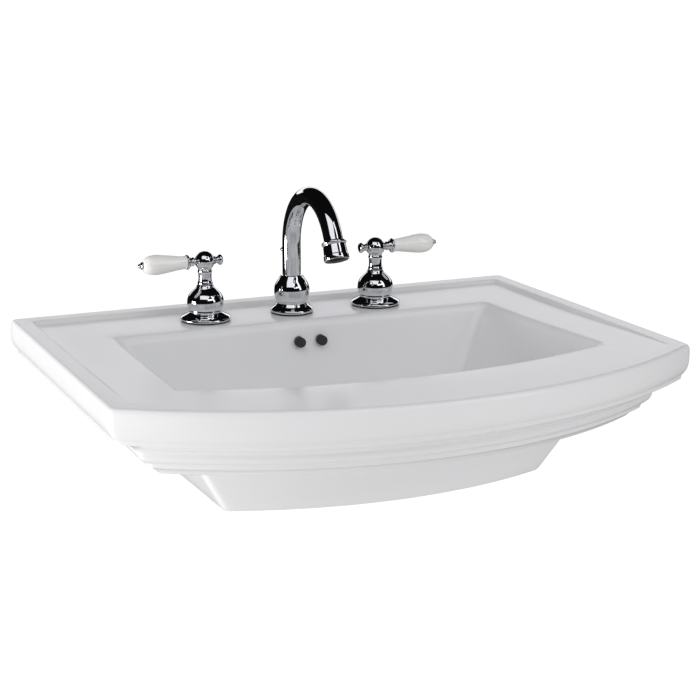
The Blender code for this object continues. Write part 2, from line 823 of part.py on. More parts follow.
def spout():
    axis = (0, FAUCET_Y, DECK_Z)
    shank_end = -DECK_THICK - 20.0
    inside = [
        (SHANK_R, FLANGE_BOTTOM),
        (SHANK_R, shank_end),
        (SHANK_R - SHANK_WALL, shank_end),
        (SHANK_R - SHANK_WALL, 4.0),
        (SUPPLY_R + GAP, 4.0),
        (SUPPLY_R + GAP, TUBE_FOOT - GAP),
        (TUBE_R + GAP, TUBE_FOOT - GAP),
        (TUBE_R + GAP, BULB_TOP),
    ]
    base = turned("spout_base", SPOUT_BASE + inside, CHROME, axis)
    boss_r = LIFT_R + 2.6
    boss = pillar(
        "lift_rod_boss", boss_r, (0, LIFT_Y, DECK_Z + 3.0), (0, LIFT_Y, DECK_Z + 29.0), helper=True
    )
    rod_hole = pillar(
        "lift_rod_hole",
        LIFT_R + RUN,
        (0, LIFT_Y, UNDER_Z - 10.0),
        (0, LIFT_Y, DECK_Z + 42.0),
        helper=True,
        sides=12,
    )
    join(base, boss)
    cut(base, rod_hole)
    gasket = ring_profile(23.3, SPOUT_HOLE_R + GAP, WASHER_THICK + GAP, GAP)
    turned("spout_gasket", gasket, RUBBER, axis)
    under = -DECK_THICK
    washer_profile = ring_profile(25.0, SHANK_R + GAP, under - GAP, under - 3.0)
    washer = turned("spout_washer", washer_profile, RUBBER, axis)
    cut(washer, rod_hole)
    nut("spout_lock_nut", 16.8, SHANK_R + GAP, (0, FAUCET_Y, UNDER_Z - 3.0 - GAP), 8.0, BRASS)

    tube = swept("spout_tube", arch_points(TUBE_FOOT), TUBE_R, CHROME)
    bore_points = arch_points(TUBE_FOOT - 5.0, NOSE + 5.0)
    bore = swept("spout_bore", bore_points, TUBE_R - TUBE_WALL, None, helper=True, roundness=2)
    cut(tube, bore)

    supply = ring_profile(SUPPLY_R, SUPPLY_R - 1.8, TUBE_FOOT - 6.0, -SUPPLY_DROP)
    turned("supply_tube", supply, BRASS, axis, steps=14)
    tee = turned("supply_tee", tee_profile(), BRASS, axis, steps=14)
    tee_z = DECK_Z - TEE_DROP
    for side, label in ((-1, "left"), (1, "right")):
        root = (side * (SUPPLY_R + GAP), FAUCET_Y, tee_z)
        tip = (side * TEE_ARM, FAUCET_Y, tee_z)
        arm = pillar("tee_arm_" + label, PORT_R, root, tip, helper=True, sides=20)
        join(tee, arm)
    left = (-TEE_ARM - 3.0, FAUCET_Y, tee_z)
    right = (TEE_ARM + 3.0, FAUCET_Y, tee_z)
    way = pillar("tee_way", PORT_R - 3.0, left, right, helper=True)
    cut(tee, way)
    aerator()


def tee_profile():
    """Socket for the supply tube above a chamber that is closed below."""
    socket = SUPPLY_R + GAP
    shoulder = -SUPPLY_DROP - GAP
    return [
        (0, -TEE_DROP - 7.0),
        (5.0, -TEE_DROP - 7.0),
        (5.0, shoulder),
        (socket, shoulder),
        (socket, shoulder + 9.0),
        (9.6, shoulder + 9.0),
        (9.6, -TEE_DROP - 10.0),
        (0, -TEE_DROP - 10.0),
    ]


def aerator():
    """The nozzle, drawn upright: +Z points back up the tube, and 0 is the tube's end."""
    end = arch_points(TUBE_FOOT)[-1]
    tilt = (ARCH_SWEEP - pi, 0, 0)
    insert_r = 10.9
    housing = [
        (11.2, 7.0),
        (13.2, 5.6),
        (13.2, 4.0),
        (12.2, 2.6),
        (12.9, -8.0),
        (13.4, -9.2),
        (13.4, -12.6),
        (12.8, -13.8),
        (insert_r, -13.8),
        (insert_r, -4.0),
        (TUBE_R - TUBE_WALL, -4.0),
        (TUBE_R - TUBE_WALL, -GAP),
        (TUBE_R + GAP, -GAP),
        (TUBE_R + GAP, 7.0),
    ]
    turned("aerator_housing", housing, CHROME, end, tilt, 16)
    washer = ring_profile(insert_r - GAP, 7.4, -4.0 - GAP, -5.8)
    turned("aerator_washer", washer, RUBBER, end, tilt, 14)
    insert = ring_profile(insert_r - GAP, 3.0, -5.8 - GAP, -13.2)
    turned("aerator_insert", insert, PLASTIC, end, tilt, 14)


# Pop-up linkage and drain. Heights in profiles are measured from the rim top.


def lift_linkage():
    knob_place = (0, LIFT_Y, DECK_Z)
    knob = [
        (0, 72.8),
        (2.6, 72.4),
        (5.4, 70.4),
        (6.6, 68.2),
        (5.6, 66.4),
        (3.6, 64.8),
        (3.2, 62.8),
        (LIFT_R + GAP, 62.8),
        (LIFT_R + GAP, 67.5),
        (0, 67.5),
    ]
    turned("lift_knob", knob, CHROME, knob_place, steps=12)
    rod_bottom = REST_CROSSING_Z + 37.0 - DECK_Z
    rod = [(0, 67.5 - GAP), (LIFT_R, 67.5 - GAP), (LIFT_R, rod_bottom), (0, rod_bottom)]
    turned("lift_rod", rod, CHROME, knob_place, steps=14)

    low = REST_CROSSING_Z
    half = 5.0
    strap = block(
        "clevis_strap",
        (-half, STRAP_Y - STRAP_THICK / 2, low - 7.0),
        (half, STRAP_Y + STRAP_THICK / 2, low + 52.0),
        BRASS,
    )
    head_start = (-half, LIFT_Y - 5.0, low + 38.0)
    head = block("clevis_head", head_start, (half, STRAP_Y, low + 50.0), helper=True)
    join(strap, head)
    way_start, way_end = (0, LIFT_Y, low + 30.0), (0, LIFT_Y, low + 60.0)
    rod_way = pillar("clevis_rod_way", LIFT_R + GAP, way_start, way_end, helper=True, sides=14)
    cut(strap, rod_way)
    screw_z = low + 44.0
    screw_hole = pillar(
        "clevis_screw_hole",
        1.6 + GAP,
        (0, LIFT_Y - 12.0, screw_z),
        (0, LIFT_Y, screw_z),
        helper=True,
        sides=12,
    )
    cut(strap, screw_hole)
    for number in range(3):
        z = low + 12.0 * number
        hole = pillar(
            f"strap_hole_{number + 1}",
            PIVOT_ROD_R + 1.0,
            (0, STRAP_Y - 4.0, z),
            (0, STRAP_Y + 4.0, z),
            helper=True,
            sides=16,
        )
        cut(strap, hole)
    screw = [
        (0, 13.0),
        (5.0, 13.0),
        (5.0, 11.5),
        (2.6, 10.8),
        (2.6, 5.0 + GAP),
        (1.6, 5.0 + GAP),
        (1.6, LIFT_R + GAP),
        (0, LIFT_R + GAP),
    ]
    turned("clevis_screw", screw, BRASS, (0, LIFT_Y, screw_z), (pi / 2, 0, 0), 12)

    thick = 0.9
    leg = STRAP_THICK / 2 + 2.2
    outline = [
        (STRAP_Y - leg, low + 6.0),
        (STRAP_Y - leg, low - 9.0),
        (STRAP_Y + leg, low - 9.0),
        (STRAP_Y + leg, low + 6.0),
        (STRAP_Y + leg + thick, low + 6.0),
        (STRAP_Y + leg + thick, low - 9.0 - thick),
        (STRAP_Y - leg - thick, low - 9.0 - thick),
        (STRAP_Y - leg - thick, low + 6.0),
    ]
    clip = slab("spring_clip", outline, 3.6 + PIVOT_ROD_R, CHROME)
    clip_hole = pillar(
        "clip_hole",
        PIVOT_ROD_R + 1.2,
        (0, STRAP_Y - 8.0, low),
        (0, STRAP_Y + 8.0, low),
        helper=True,
        sides=16,
    )
    cut(clip, clip_hole)


def pivot():
    """The rod and its ball, drawn upright and laid down along Y. +Z points to the lift rod."""
    half_angle = atan2(PIVOT_ROD_R, sqrt(PIVOT_BALL_R**2 - PIVOT_ROD_R**2))
    ball = []
    for step in range(7):
        angle = half_angle + (pi - 2 * half_angle) * step / 6
        ball.append((PIVOT_BALL_R * sin(angle), PIVOT_BALL_R * cos(angle)))
    outer = STRAP_Y - PIVOT_Y + 10.0
    inner = -PIVOT_ARM - 3.0
    rod = [(0, outer), (PIVOT_ROD_R, outer), *ball, (PIVOT_ROD_R, inner), (0, inner)]
    lay_down = (PIVOT_TILT - pi / 2, 0, 0)
    turned("pivot_rod", rod, CHROME, (0, PIVOT_Y, PIVOT_Z), lay_down, 12)
    port_end = DRAIN_Y + PIVOT_ARM + PIVOT_BALL_R + 1.6 + GAP

    def bar(name, radius, start, end, **options):
        return pillar(name, radius, (0, start, PIVOT_Z), (0, end, PIVOT_Z), **options)

    cap = bar("pivot_nut", 14.5, port_end - 8.0, port_end + 3.5, finish=CHROME, sides=6)
    cavity_r, opening_r = PORT_BOSS_R + GAP, PIVOT_ROD_R + 2.7
    cavity = bar("pivot_nut_cavity", cavity_r, port_end - 10.0, port_end + GAP, helper=True)
    opening = bar("pivot_nut_opening", opening_r, port_end - 1.0, port_end + 6.0, helper=True)
    cut(cap, cavity, opening)


def drain():
    axis = (0, DRAIN_Y, RIM_Z)
    seat = -DRAIN_DEPTH - FLANGE_THICK + GAP
    throat = BODY_R - BODY_WALL - GAP
    flange = [
        (STOPPER_R + 1.5, 0.6 - DRAIN_DEPTH),
        (FLANGE_R - 2.0, 0.6 - DRAIN_DEPTH),
        (FLANGE_R, -0.6 - DRAIN_DEPTH),
        (FLANGE_R, seat),
        (throat, seat),
        (throat, seat - 4.3),
        (throat - 2.0, seat - 4.3),
        (throat - 2.0, seat - 1.8),
    ]
    turned("drain_flange", flange, CHROME, axis)

    top = seat - GAP
    bottom = -PIVOT_DEPTH - 14.0
    bore = BODY_R - BODY_WALL
    tail_top = -PIVOT_DEPTH - 5.0
    body = [
        (BODY_R, top),
        (BODY_R, bottom),
        (TAIL_R + GAP, bottom),
        (TAIL_R + GAP, tail_top + GAP),
        (bore, tail_top + 2.0),
        (bore, top),
    ]
    housing = turned("drain_body", body, CHROME, axis)
    port_end = DRAIN_Y + PIVOT_ARM + PIVOT_BALL_R + 1.6

    def bar(name, radius, start, end, sides):
        return pillar(name, radius, (0, start, PIVOT_Z), (0, end, PIVOT_Z), helper=True, sides=sides)

    port = bar("pivot_port", PORT_BOSS_R, DRAIN_Y + BODY_R - 2.6, port_end, SIDES)
    way = bar("pivot_way", PIVOT_ROD_R + 2.1, DRAIN_Y + 10.0, port_end + 2.0, SIDES)
    ball_seat = PIVOT_Y - PIVOT_BALL_R - RUN
    socket = bar("ball_socket", PIVOT_BALL_R + RUN, ball_seat, port_end + 2.0, 20)
    slots = block(
        "overflow_slots",
        (-9.0, DRAIN_Y - 40.0, RIM_Z - DRAIN_DEPTH - 13.0),
        (9.0, DRAIN_Y + 40.0, RIM_Z - DRAIN_DEPTH - 8.0),
        helper=True,
    )
    join(housing, port)
    cut(housing, way, socket, slots)

    under = -BASIN_HEIGHT
    clear = BODY_R + GAP
    gasket = [(29.0, under - GAP), (30.0, under - 4.0), (clear, under - 4.0), (clear, under - GAP)]
    turned("drain_gasket", gasket, RUBBER, axis)
    washer = ring_profile(30.0, clear, under - 4.0 - GAP, under - 5.8)
    turned("drain_washer", washer, BRASS, axis)
    nut("drain_lock_nut", 29.0, clear, (0, DRAIN_Y, RIM_Z + under - 5.8 - GAP), 7.0, BRASS)
    tail = ring_profile(TAIL_R, TAIL_R - 2.0, tail_top, -TAIL_END)
    turned("tailpiece", tail, CHROME, axis)
    stopper(axis)


def stopper(axis):
    """The plug stands open at rest, lifted by the inner end of the pivot rod."""
    seated = -DRAIN_DEPTH - 0.4
    low = seated + STOPPER_RISE
    cap = [
        (0, low + 5.6),
        (7.0, low + 5.2),
        (13.0, low + 4.0),
        (17.4, low + 2.2),
        (STOPPER_R, low + 0.9),
        (STOPPER_R, low),
        (7.0, low),
        (7.0, low - 1.8),
        (4.0, low - 1.8),
        (4.0, ROD_END_Z - RIM_Z + 6.0),
        (0, ROD_END_Z - RIM_Z + 6.0),
    ]
    plug = turned("stopper", cap, CHROME, axis)
    eye = block(
        "stopper_eye",
        (-6.0, DRAIN_Y - 2.5, ROD_END_Z - 6.5),
        (6.0, DRAIN_Y + 2.5, ROD_END_Z + 9.0),
        helper=True,
    )
    hole = pillar(
        "stopper_eye_hole",
        PIVOT_ROD_R + 0.9,
        (0, DRAIN_Y - 5.0, ROD_END_Z),
        (0, DRAIN_Y + 5.0, ROD_END_Z),
        helper=True,
        sides=16,
    )
    join(plug, eye)
    cut(plug, hole)
    seal = [(17.0, low - GAP), (16.4, low - 1.8), (7.0 + GAP, low - 1.8), (7.0 + GAP, low - GAP)]
    turned("stopper_seal", seal, RUBBER, axis)


make_basin()
for spec in (("hot", -1), ("cold", 1)):
    handle(*spec)
spout()
lift_linkage()
pivot()
drain()
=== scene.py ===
"""Looks of a white china basin with a widespread chrome faucet and a pop-up drain.

Lengths are in millimetres until MM turns them into metres. Heights on the faucet are above the
deck, and depths on the basin and the drain are below the top of the raised rim.
"""

import json
from math import atan, atan2, cos, pi, radians, sin, sqrt, tan, tau

import bmesh
import bpy
from mathutils import Matrix, Vector


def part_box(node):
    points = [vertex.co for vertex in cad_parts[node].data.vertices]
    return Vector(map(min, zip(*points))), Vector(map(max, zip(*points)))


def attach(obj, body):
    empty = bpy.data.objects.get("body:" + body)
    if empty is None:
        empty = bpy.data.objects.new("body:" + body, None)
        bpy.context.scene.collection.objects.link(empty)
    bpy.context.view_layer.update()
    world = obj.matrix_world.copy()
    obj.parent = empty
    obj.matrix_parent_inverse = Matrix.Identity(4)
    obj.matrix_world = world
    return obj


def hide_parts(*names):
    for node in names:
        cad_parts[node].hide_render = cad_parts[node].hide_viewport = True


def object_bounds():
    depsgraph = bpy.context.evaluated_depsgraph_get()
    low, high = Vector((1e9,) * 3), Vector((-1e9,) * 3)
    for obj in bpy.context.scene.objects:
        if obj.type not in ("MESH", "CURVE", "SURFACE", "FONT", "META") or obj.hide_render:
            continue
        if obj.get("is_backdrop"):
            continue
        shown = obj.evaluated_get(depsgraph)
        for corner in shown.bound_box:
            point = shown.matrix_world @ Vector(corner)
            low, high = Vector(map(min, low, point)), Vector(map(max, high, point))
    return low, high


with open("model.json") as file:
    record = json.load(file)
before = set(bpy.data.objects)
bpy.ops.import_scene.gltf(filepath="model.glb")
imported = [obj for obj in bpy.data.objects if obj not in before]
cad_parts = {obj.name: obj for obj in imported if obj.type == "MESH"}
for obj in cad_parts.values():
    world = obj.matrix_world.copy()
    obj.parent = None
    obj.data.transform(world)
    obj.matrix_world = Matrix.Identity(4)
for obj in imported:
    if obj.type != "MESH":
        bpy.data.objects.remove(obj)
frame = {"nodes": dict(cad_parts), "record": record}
CAD_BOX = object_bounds()
RECORD = frame["record"]
BODY_OF = {node: body for body, nodes in RECORD["behaviour"]["bodies"].items() for node in nodes}
SLOT_OF = {part["node"]: part["material_slot"] for part in RECORD["subparts"]}
MM = 0.001


def middle(node):
    """Centre of a CAD node's box, in millimetres."""
    low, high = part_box(node)
    return (low + high) / 2 / MM


# Places taken from the frame
RIM_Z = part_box("basin")[1].z / MM
DECK_DROP = 4.0
DECK_Z = RIM_Z - DECK_DROP
FAUCET_Y = middle("hot_escutcheon").y
HANDLE_X = {"hot": middle("hot_escutcheon").x, "cold": middle("cold_escutcheon").x}
DRAIN_Y = middle("drain_flange").y
LIFT_Y = middle("lift_rod").y
STRAP_Y = middle("spring_clip").y
PIVOT_Z = middle("pivot_nut").z
BASIN_HEIGHT = RIM_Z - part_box("basin")[0].z / MM
FRONT_REACH = -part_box("basin")[0].y / MM

# Clearances between pieces, as in the solids: still ones, and ones that move
GAP = 0.3
RUN = 0.4

# Basin
BACK_HALF = 301.5
SIDE_FLARE = 0.0248
FRONT_RADIUS = 520.0
CORNER_R = 10.0
BACK_CORNER_R = 4.0
TOP_EDGE_R = 5.5
CHINA = 12.0
LEDGE = 21.7
DECK_THICK = 12.0
BOWL_BACK = 117.0
SIDE_RIM = 84.0
FRONT_RIM = 102.7
BOWL_FRONT_RADIUS = 598.0
BOWL_FLARE = 0.0426
BOWL_CHINA = 8.0
BACK_LEAN = radians(14)
SIDE_LEAN = radians(27)
FRONT_LEAN = radians(33)
FOOT_DEPTH = 118.0
DRAIN_DEPTH = 120.5
BOWL_CORNER_R = 9.0
LEDGE_FADES = (150.0, 448.0)  # from the wall: where the step along the sides fades out
SHOULDER = 76.5  # where the skirt ends and the hopper under it begins
# The hopper's sides and front, in from the skirt, and its bow: at the shoulder and at the bottom
HOPPER_SET = (88.5, 126.0)
HOPPER_FRONT_SET = (111.7, 138.1)
HOPPER_RADIUS = (561.0, 446.0)
HANDLE_HOLE_R = 16.0
SPOUT_HOLE_R = 20.5
DRAIN_HOLE_R = 22.5
BOLT_HOLE_R = 6.0
OVERFLOW_HALF_SPREAD = 12.7
OVERFLOW_R = 5.5
OVERFLOW_DEPTH = 25.5
BOLT_HALF_SPREAD = 101.6

# Faucet
BALL_R = 10.8
LEVER_HEIGHT = 66.0
BELL_TOP = 40.4
BULB_TOP = 42.5
STEM_R = 3.1
STUD_R = 2.6
VALVE_R = 13.2
TUBE_R = 10.2
TUBE_WALL = 1.6
TUBE_FOOT = 14.3
ARCH_START = 77.5
ARCH_RADIUS = 61.0
ARCH_SWEEP = radians(155)
ARCH_STEPS = 44
NOSE = 11.0
SHANK_R = 12.0
SUPPLY_R = 7.0
PORT_R = 7.5
PORT_DROP = 36.0
PORT_REACH = 9.0
TEE_DROP = 55.0
TEE_ARM = 20.0
HOSE_R = 4.5
HOSE_SIDES = 24
WASHER = 3.0  # thickness of the washers under the deck
NUT = 8.0  # height of the nuts under the deck
LIFT_R = 2.0

# Drain
FLANGE_R = 31.5
BODY_R = 20.5
TAIL_R = 15.9
PIVOT_DEPTH = RIM_Z - PIVOT_Z
PIVOT_ARM = 26.0
PIVOT_Y = DRAIN_Y + PIVOT_ARM
PIVOT_ROD_R = 2.5
PIVOT_BALL_R = 5.6
STOPPER_R = 19.0
LIFT_TRAVEL = 40.0
FLANGE_EDGE = 2.2  # thickness of the drain flange at its rim
DRAIN_BORE_R = 17.5
TAIL_LAP = 5.0  # how far below the pivot the tailpiece starts
PIVOT_TILT = -atan(LIFT_TRAVEL / 2 / (STRAP_Y - PIVOT_Y))


# Shader maths


class Wire:
    """A shader value that takes part in ordinary sums."""

    def __init__(self, finish, socket):
        self.finish = finish
        self.socket = socket

    def sum(self, operation, first, second=None):
        given = {0: first} if second is None else {0: first, 1: second}
        return self.finish.add("ShaderNodeMath", {"operation": operation}, given)

    def __add__(self, other):
        return self.sum("ADD", self, other)

    def __sub__(self, other):
        return self.sum("SUBTRACT", self, other)

    def __mul__(self, other):
        return self.sum("MULTIPLY", self, other)

    def __pow__(self, other):
        return self.sum("POWER", self, other)

    def __rsub__(self, other):
        return self.sum("SUBTRACT", other, self)

    __radd__ = __add__
    __rmul__ = __mul__

    def sine(self):
        return self.sum("SINE", self)

    def size(self):
        return self.sum("ABSOLUTE", self)

    def above(self, other):
        return self.sum("GREATER_THAN", self, other)


class Finish:
    """A material being built around one Principled shader."""

    def __init__(self, name, **fixed):
        self.material = bpy.data.materials.new(name)
        self.material.use_nodes = True
        self.tree = self.material.node_tree
        self.shader = self.tree.nodes["Principled BSDF"]
        for label, value in fixed.items():
            self.shader.inputs[label.replace("_", " ")].default_value = value

    def add(self, kind, settings=None, sockets=None, output=0):
        node = self.tree.nodes.new(kind)
        for label, value in (settings or {}).items():
            setattr(node, label, value)
        for label, value in (sockets or {}).items():
            self.join(value, node.inputs[label])
        return Wire(self, node.outputs[output])

    def join(self, value, socket):
        if isinstance(value, Wire):
            self.tree.links.new(value.socket, socket)
        else:
            socket.default_value = value

    def wear(self, **given):
        for label, value in given.items():
            self.join(value, self.shader.inputs[label.replace("_", " ")])

    def noise(self, scale, detail, stretch=(1.0, 1.0, 1.0)):
        place = self.add("ShaderNodeTexCoord", output="Object")
        spot = self.add("ShaderNodeMapping", {}, {"Vector": place, "Scale": stretch})
        given = {"Vector": spot, "Scale": scale, "Detail": detail}
        return self.add("ShaderNodeTexNoise", {}, given)

    def between(self, share, first, second):
        """A colour between two, at that share of the second."""
        settings = {"data_type": "RGBA"}
        colours = {6: (*first, 1.0), 7: (*second, 1.0)}
        return self.add("ShaderNodeMix", settings, {0: share, **colours}, output=2)

    def bump(self, height, strength, distance):
        given = {"Height": height, "Strength": strength, "Distance": distance * MM}
        return self.add("ShaderNodeBump", {}, given)


def glazed_china():
    """Deep, very slightly wavy white glaze that pools a little cooler in places."""
    made = Finish("vitreous_china_glaze", IOR=1.55)
    pooling = made.noise(9.0, 3.0)
    waviness = made.noise(38.0, 1.0)
    orange_peel = made.noise(420.0, 1.0)
    made.wear(
        Base_Color=made.between(pooling, (0.865, 0.868, 0.885), (0.895, 0.893, 0.896)),
        Roughness=0.20 + 0.06 * made.noise(55.0, 4.0),
        Normal=made.bump(waviness + 0.03 * orange_peel, 0.10, 0.7),
    )
    return made.material


def polished_chrome():
    """Plated brass, with the faintest smudges and polishing waves."""
    made = Finish("polished_chrome", Metallic=1.0)
    smudge = made.noise(95.0, 5.0)
    made.wear(
        Base_Color=made.between(smudge, (0.72, 0.735, 0.765), (0.80, 0.81, 0.83)),
        Roughness=0.02 + 0.085 * smudge**2.0,
        Normal=made.bump(made.noise(160.0, 2.0), 0.06, 0.25),
    )
    return made.material


def lever_porcelain():
    """Warm white porcelain under a thick clear glaze."""
    made = Finish("lever_porcelain_glaze", IOR=1.5)
    tone = made.noise(45.0, 3.0)
    made.wear(
        Base_Color=made.between(tone, (0.94, 0.93, 0.905), (0.965, 0.955, 0.94)),
        Roughness=0.06 + 0.06 * made.noise(120.0, 3.0),
        Coat_Weight=0.35 + 0.3 * tone,
        Normal=made.bump(made.noise(260.0, 1.0), 0.05, 0.3),
    )
    return made.material


def machined_brass():
    """Unplated brass, dulled in patches, with fine tool marks round it."""
    made = Finish("machined_brass", Metallic=1.0)
    patina = made.noise(70.0, 5.0)
    marks = made.noise(140.0, 2.0, stretch=(1.0, 1.0, 22.0))
    made.wear(
        Base_Color=made.between(patina, (0.62, 0.43, 0.18), (0.83, 0.64, 0.33)),
        Roughness=0.20 + 0.26 * patina,
        Normal=made.bump(marks, 0.25, 0.08),
    )
    return made.material


def grained(name, scale, detail, colours, roughness, relief=None):
    """A plain matt finish with a fine grain in its colour, its gloss and, if given, its relief."""
    made = Finish(name)
    grain = made.noise(scale, detail)
    least, spread = roughness
    made.wear(Base_Color=made.between(grain, *colours), Roughness=least + spread * grain)
    if relief:
        made.wear(Normal=made.bump(grain, *relief))
    return made.material


RUBBER = ((0.018, 0.018, 0.019), (0.045, 0.044, 0.043))
CERAMIC = ((0.74, 0.73, 0.68), (0.83, 0.82, 0.78))
PLASTIC = ((0.050, 0.052, 0.056), (0.075, 0.078, 0.083))
BRAID_ROUND = 12.0  # strands round the hose
BRAID_ALONG = 26.0  # crossings along it


def woven_steel():
    """Two families of flat wires that cross on the slant, over a dark rubber hose."""
    made = Finish("woven_steel_braid")
    where = made.add("ShaderNodeUVMap")
    across = made.add("ShaderNodeSeparateXYZ", {}, {0: where})
    along = Wire(made, across.socket.node.outputs[1])
    left = ((across * BRAID_ROUND + along * BRAID_ALONG) * 2 * pi).sine()
    right = ((across * BRAID_ROUND - along * BRAID_ALONG) * 2 * pi).sine()
    wires = (left * right).size()
    shine = wires**0.5
    made.wear(
        Base_Color=made.between(shine, (0.03, 0.03, 0.035), (0.62, 0.63, 0.65)),
        Metallic=shine.above(0.35),
        Roughness=0.55 - 0.25 * shine,
        Normal=made.bump(shine, 0.9, 0.5),
    )
    return made.material


FINISHES = {
    "vitreous_china": glazed_china(),
    "chrome": polished_chrome(),
    "lever_porcelain": lever_porcelain(),
    "brass": machined_brass(),
    "rubber": grained("moulded_rubber", 900.0, 4.0, RUBBER, (0.62, 0.25), (0.3, 0.06)),
    "disc_ceramic": grained("lapped_ceramic", 1300.0, 3.0, CERAMIC, (0.22, 0.12)),
    "grey_plastic": grained(
        "grey_moulded_plastic", 700.0, 3.0, PLASTIC, (0.42, 0.15), (0.15, 0.05)
    ),
    "steel_braid": woven_steel(),
}


# Modelling


def clear_selection():
    if bpy.context.object and bpy.context.object.mode == "EDIT":
        bpy.ops.object.mode_set(mode="OBJECT")
    bpy.ops.object.select_all(action="DESELECT")


def pick(piece):
    clear_selection()
    bpy.context.view_layer.objects.active = piece
    piece.select_set(True)


def edit(piece, action="SELECT"):
    """Opens a piece for editing, with all or none of it selected."""
    pick(piece)
    bpy.ops.object.mode_set(mode="EDIT")
    bpy.ops.mesh.select_all(action=action)


def weld(distance):
    bpy.ops.mesh.remove_doubles(threshold=distance)
    bpy.ops.mesh.dissolve_degenerate(threshold=distance / 2)


def tidy(piece):
    """Joins coincident points and turns all faces outwards."""
    edit(piece)
    weld(0.000004)
    bpy.ops.mesh.select_all(action="SELECT")
    bpy.ops.mesh.normals_make_consistent(inside=False)
    bpy.ops.object.mode_set(mode="OBJECT")


def settle(piece, smooth_below=35):
    """Puts a piece's place into its mesh, joins coincident points and smooths gentle edges."""
    pick(piece)
    bpy.ops.object.transform_apply(location=True, rotation=True, scale=True)
    edit(piece)
    weld(0.000002)
    bpy.ops.object.mode_set(mode="OBJECT")
    bpy.ops.object.shade_smooth_by_angle(angle=radians(smooth_below))
    return piece


def apply_all(piece):
    pick(piece)
    for step in list(piece.modifiers):
        bpy.ops.object.modifier_apply(modifier=step.name)


def stands_for(piece, node, *others):
    """The piece takes a CAD node's place: its name, body and finish."""
    piece.name = node + "_fine"
    piece.data.name = piece.name
    piece.data.materials.clear()
    piece.data.materials.append(FINISHES[SLOT_OF[node]])
    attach(piece, BODY_OF[node])
    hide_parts(node, *others)


def curve_through(knots, steps):
    """Points on a smooth curve through the knots, the last knot left off."""
    knots = [Vector(knot) for knot in knots]
    padded = [2 * knots[0] - knots[1], *knots, 2 * knots[-1] - knots[-2]]
    points = []
    for p0, p1, p2, p3 in zip(padded, padded[1:], padded[2:], padded[3:]):
        for step in range(steps):
            t = step / steps
            bend = (2 * p0 - 5 * p1 + 4 * p2 - p3) * t * t + (3 * p1 - p0 - 3 * p2 + p3) * t**3
            points.append(p1 + ((p2 - p0) * t + bend) / 2)
    return points


def outline(knots, steps=4, fillet_steps=3):
    """A smooth line through knots of two numbers. A third number makes a corner of that radius."""
    corners = [index for index, knot in enumerate(knots) if len(knot) == 3]
    breaks = sorted({0, len(knots) - 1, *corners})
    runs = []
    for first, last in zip(breaks, breaks[1:]):
        run = [Vector(knot[:2]) for knot in knots[first : last + 1]]
        if len(run) > 2:
            run = [*curve_through(run, steps), run[-1]]
        runs.append(run)
    points = list(runs[0])
    for at, run in zip(breaks[1:], runs[1:]):
        corner = points[-1]
        radius = knots[at][2] if len(knots[at]) == 3 else 0.0
        if radius == 0.0:
            points += run[1:]
            continue
        before = [point for point in points if (point - corner).length > radius * 1.05]
        after = [point for point in run if (point - corner).length > radius * 1.05]
        start = corner + (before[-1] - corner).normalized() * radius
        end = corner + (after[0] - corner).normalized() * radius
        arc = []
        for step in range(fillet_steps + 1):
            t = step / fillet_steps
            arc.append(start * (1 - t) ** 2 + corner * 2 * t * (1 - t) + end * t * t)
        points = before + arc + after
    return points


def draw(points):
    """A line of points in the XZ plane, extruded one after another from a merged plane."""
    clear_selection()
    bpy.ops.mesh.primitive_plane_add(size=MM)
    bpy.ops.object.mode_set(mode="EDIT")
    bpy.ops.mesh.select_all(action="SELECT")
    bpy.ops.mesh.merge(type="CENTER")
    spots = [Vector((radius, 0.0, height)) * MM for radius, height in points]
    bpy.ops.transform.translate(value=spots[0])
    for before, after in zip(spots, spots[1:]):
        bpy.ops.mesh.extrude_vertices_move(TRANSFORM_OT_translate={"value": after - before})
    return bpy.context.object


def turned(knots, place, tilt=(0, 0, 0), sides=48):
    """A piece spun about its own Z axis from an outline of (radius, height), then put in place."""
    piece = draw(outline(knots))
    bpy.ops.mesh.select_all(action="SELECT")
    bpy.ops.mesh.spin(steps=sides, angle=tau, center=(0, 0, 0), axis=(0, 0, 1))
    bpy.ops.object.mode_set(mode="OBJECT")
    tidy(piece)
    piece.location = Vector(place) * MM
    piece.rotation_euler = tilt
    return settle(piece)


def spun(node, knots, place, tilt=(0, 0, 0), sides=48):
    stands_for(turned(knots, place, tilt, sides), node)


def ring(outer, inner, top, bottom, edge=0.3):
    """Outline of a washer or sleeve with softened edges, closed on itself."""
    middle_height = (top + bottom) / 2
    return [
        (outer, middle_height), (outer, bottom, edge), (inner, bottom, edge),
        (inner, top, edge), (outer, top, edge), (outer, middle_height),
    ]


def wrapped(rings):
    """A grid whose rows are wrapped round into rings of points, and closed where its edges meet."""
    columns, rows = len(rings[0]), len(rings) - 1
    clear_selection()
    bpy.ops.mesh.primitive_grid_add(x_subdivisions=columns, y_subdivisions=rows, size=2.0)
    piece = bpy.context.object
    for vertex in piece.data.vertices:
        column = round((vertex.co.x + 1) / 2 * columns) % columns
        row = round((vertex.co.y + 1) / 2 * rows)
        vertex.co = Vector(rings[row][column]) * MM
    tidy(piece)
    return piece


def rod_between(start, end, radius, sides=32):
    """A round cutter or bar between two points."""
    start, end = Vector(start), Vector(end)
    clear_selection()
    bpy.ops.mesh.primitive_cylinder_add(
        vertices=sides, radius=radius * MM, depth=(end - start).length * MM
    )
    piece = bpy.context.object
    facing = (end - start).to_track_quat("Z", "Y").to_matrix().to_4x4()
    piece.matrix_world = Matrix.Translation((start + end) / 2 * MM) @ facing
    return piece


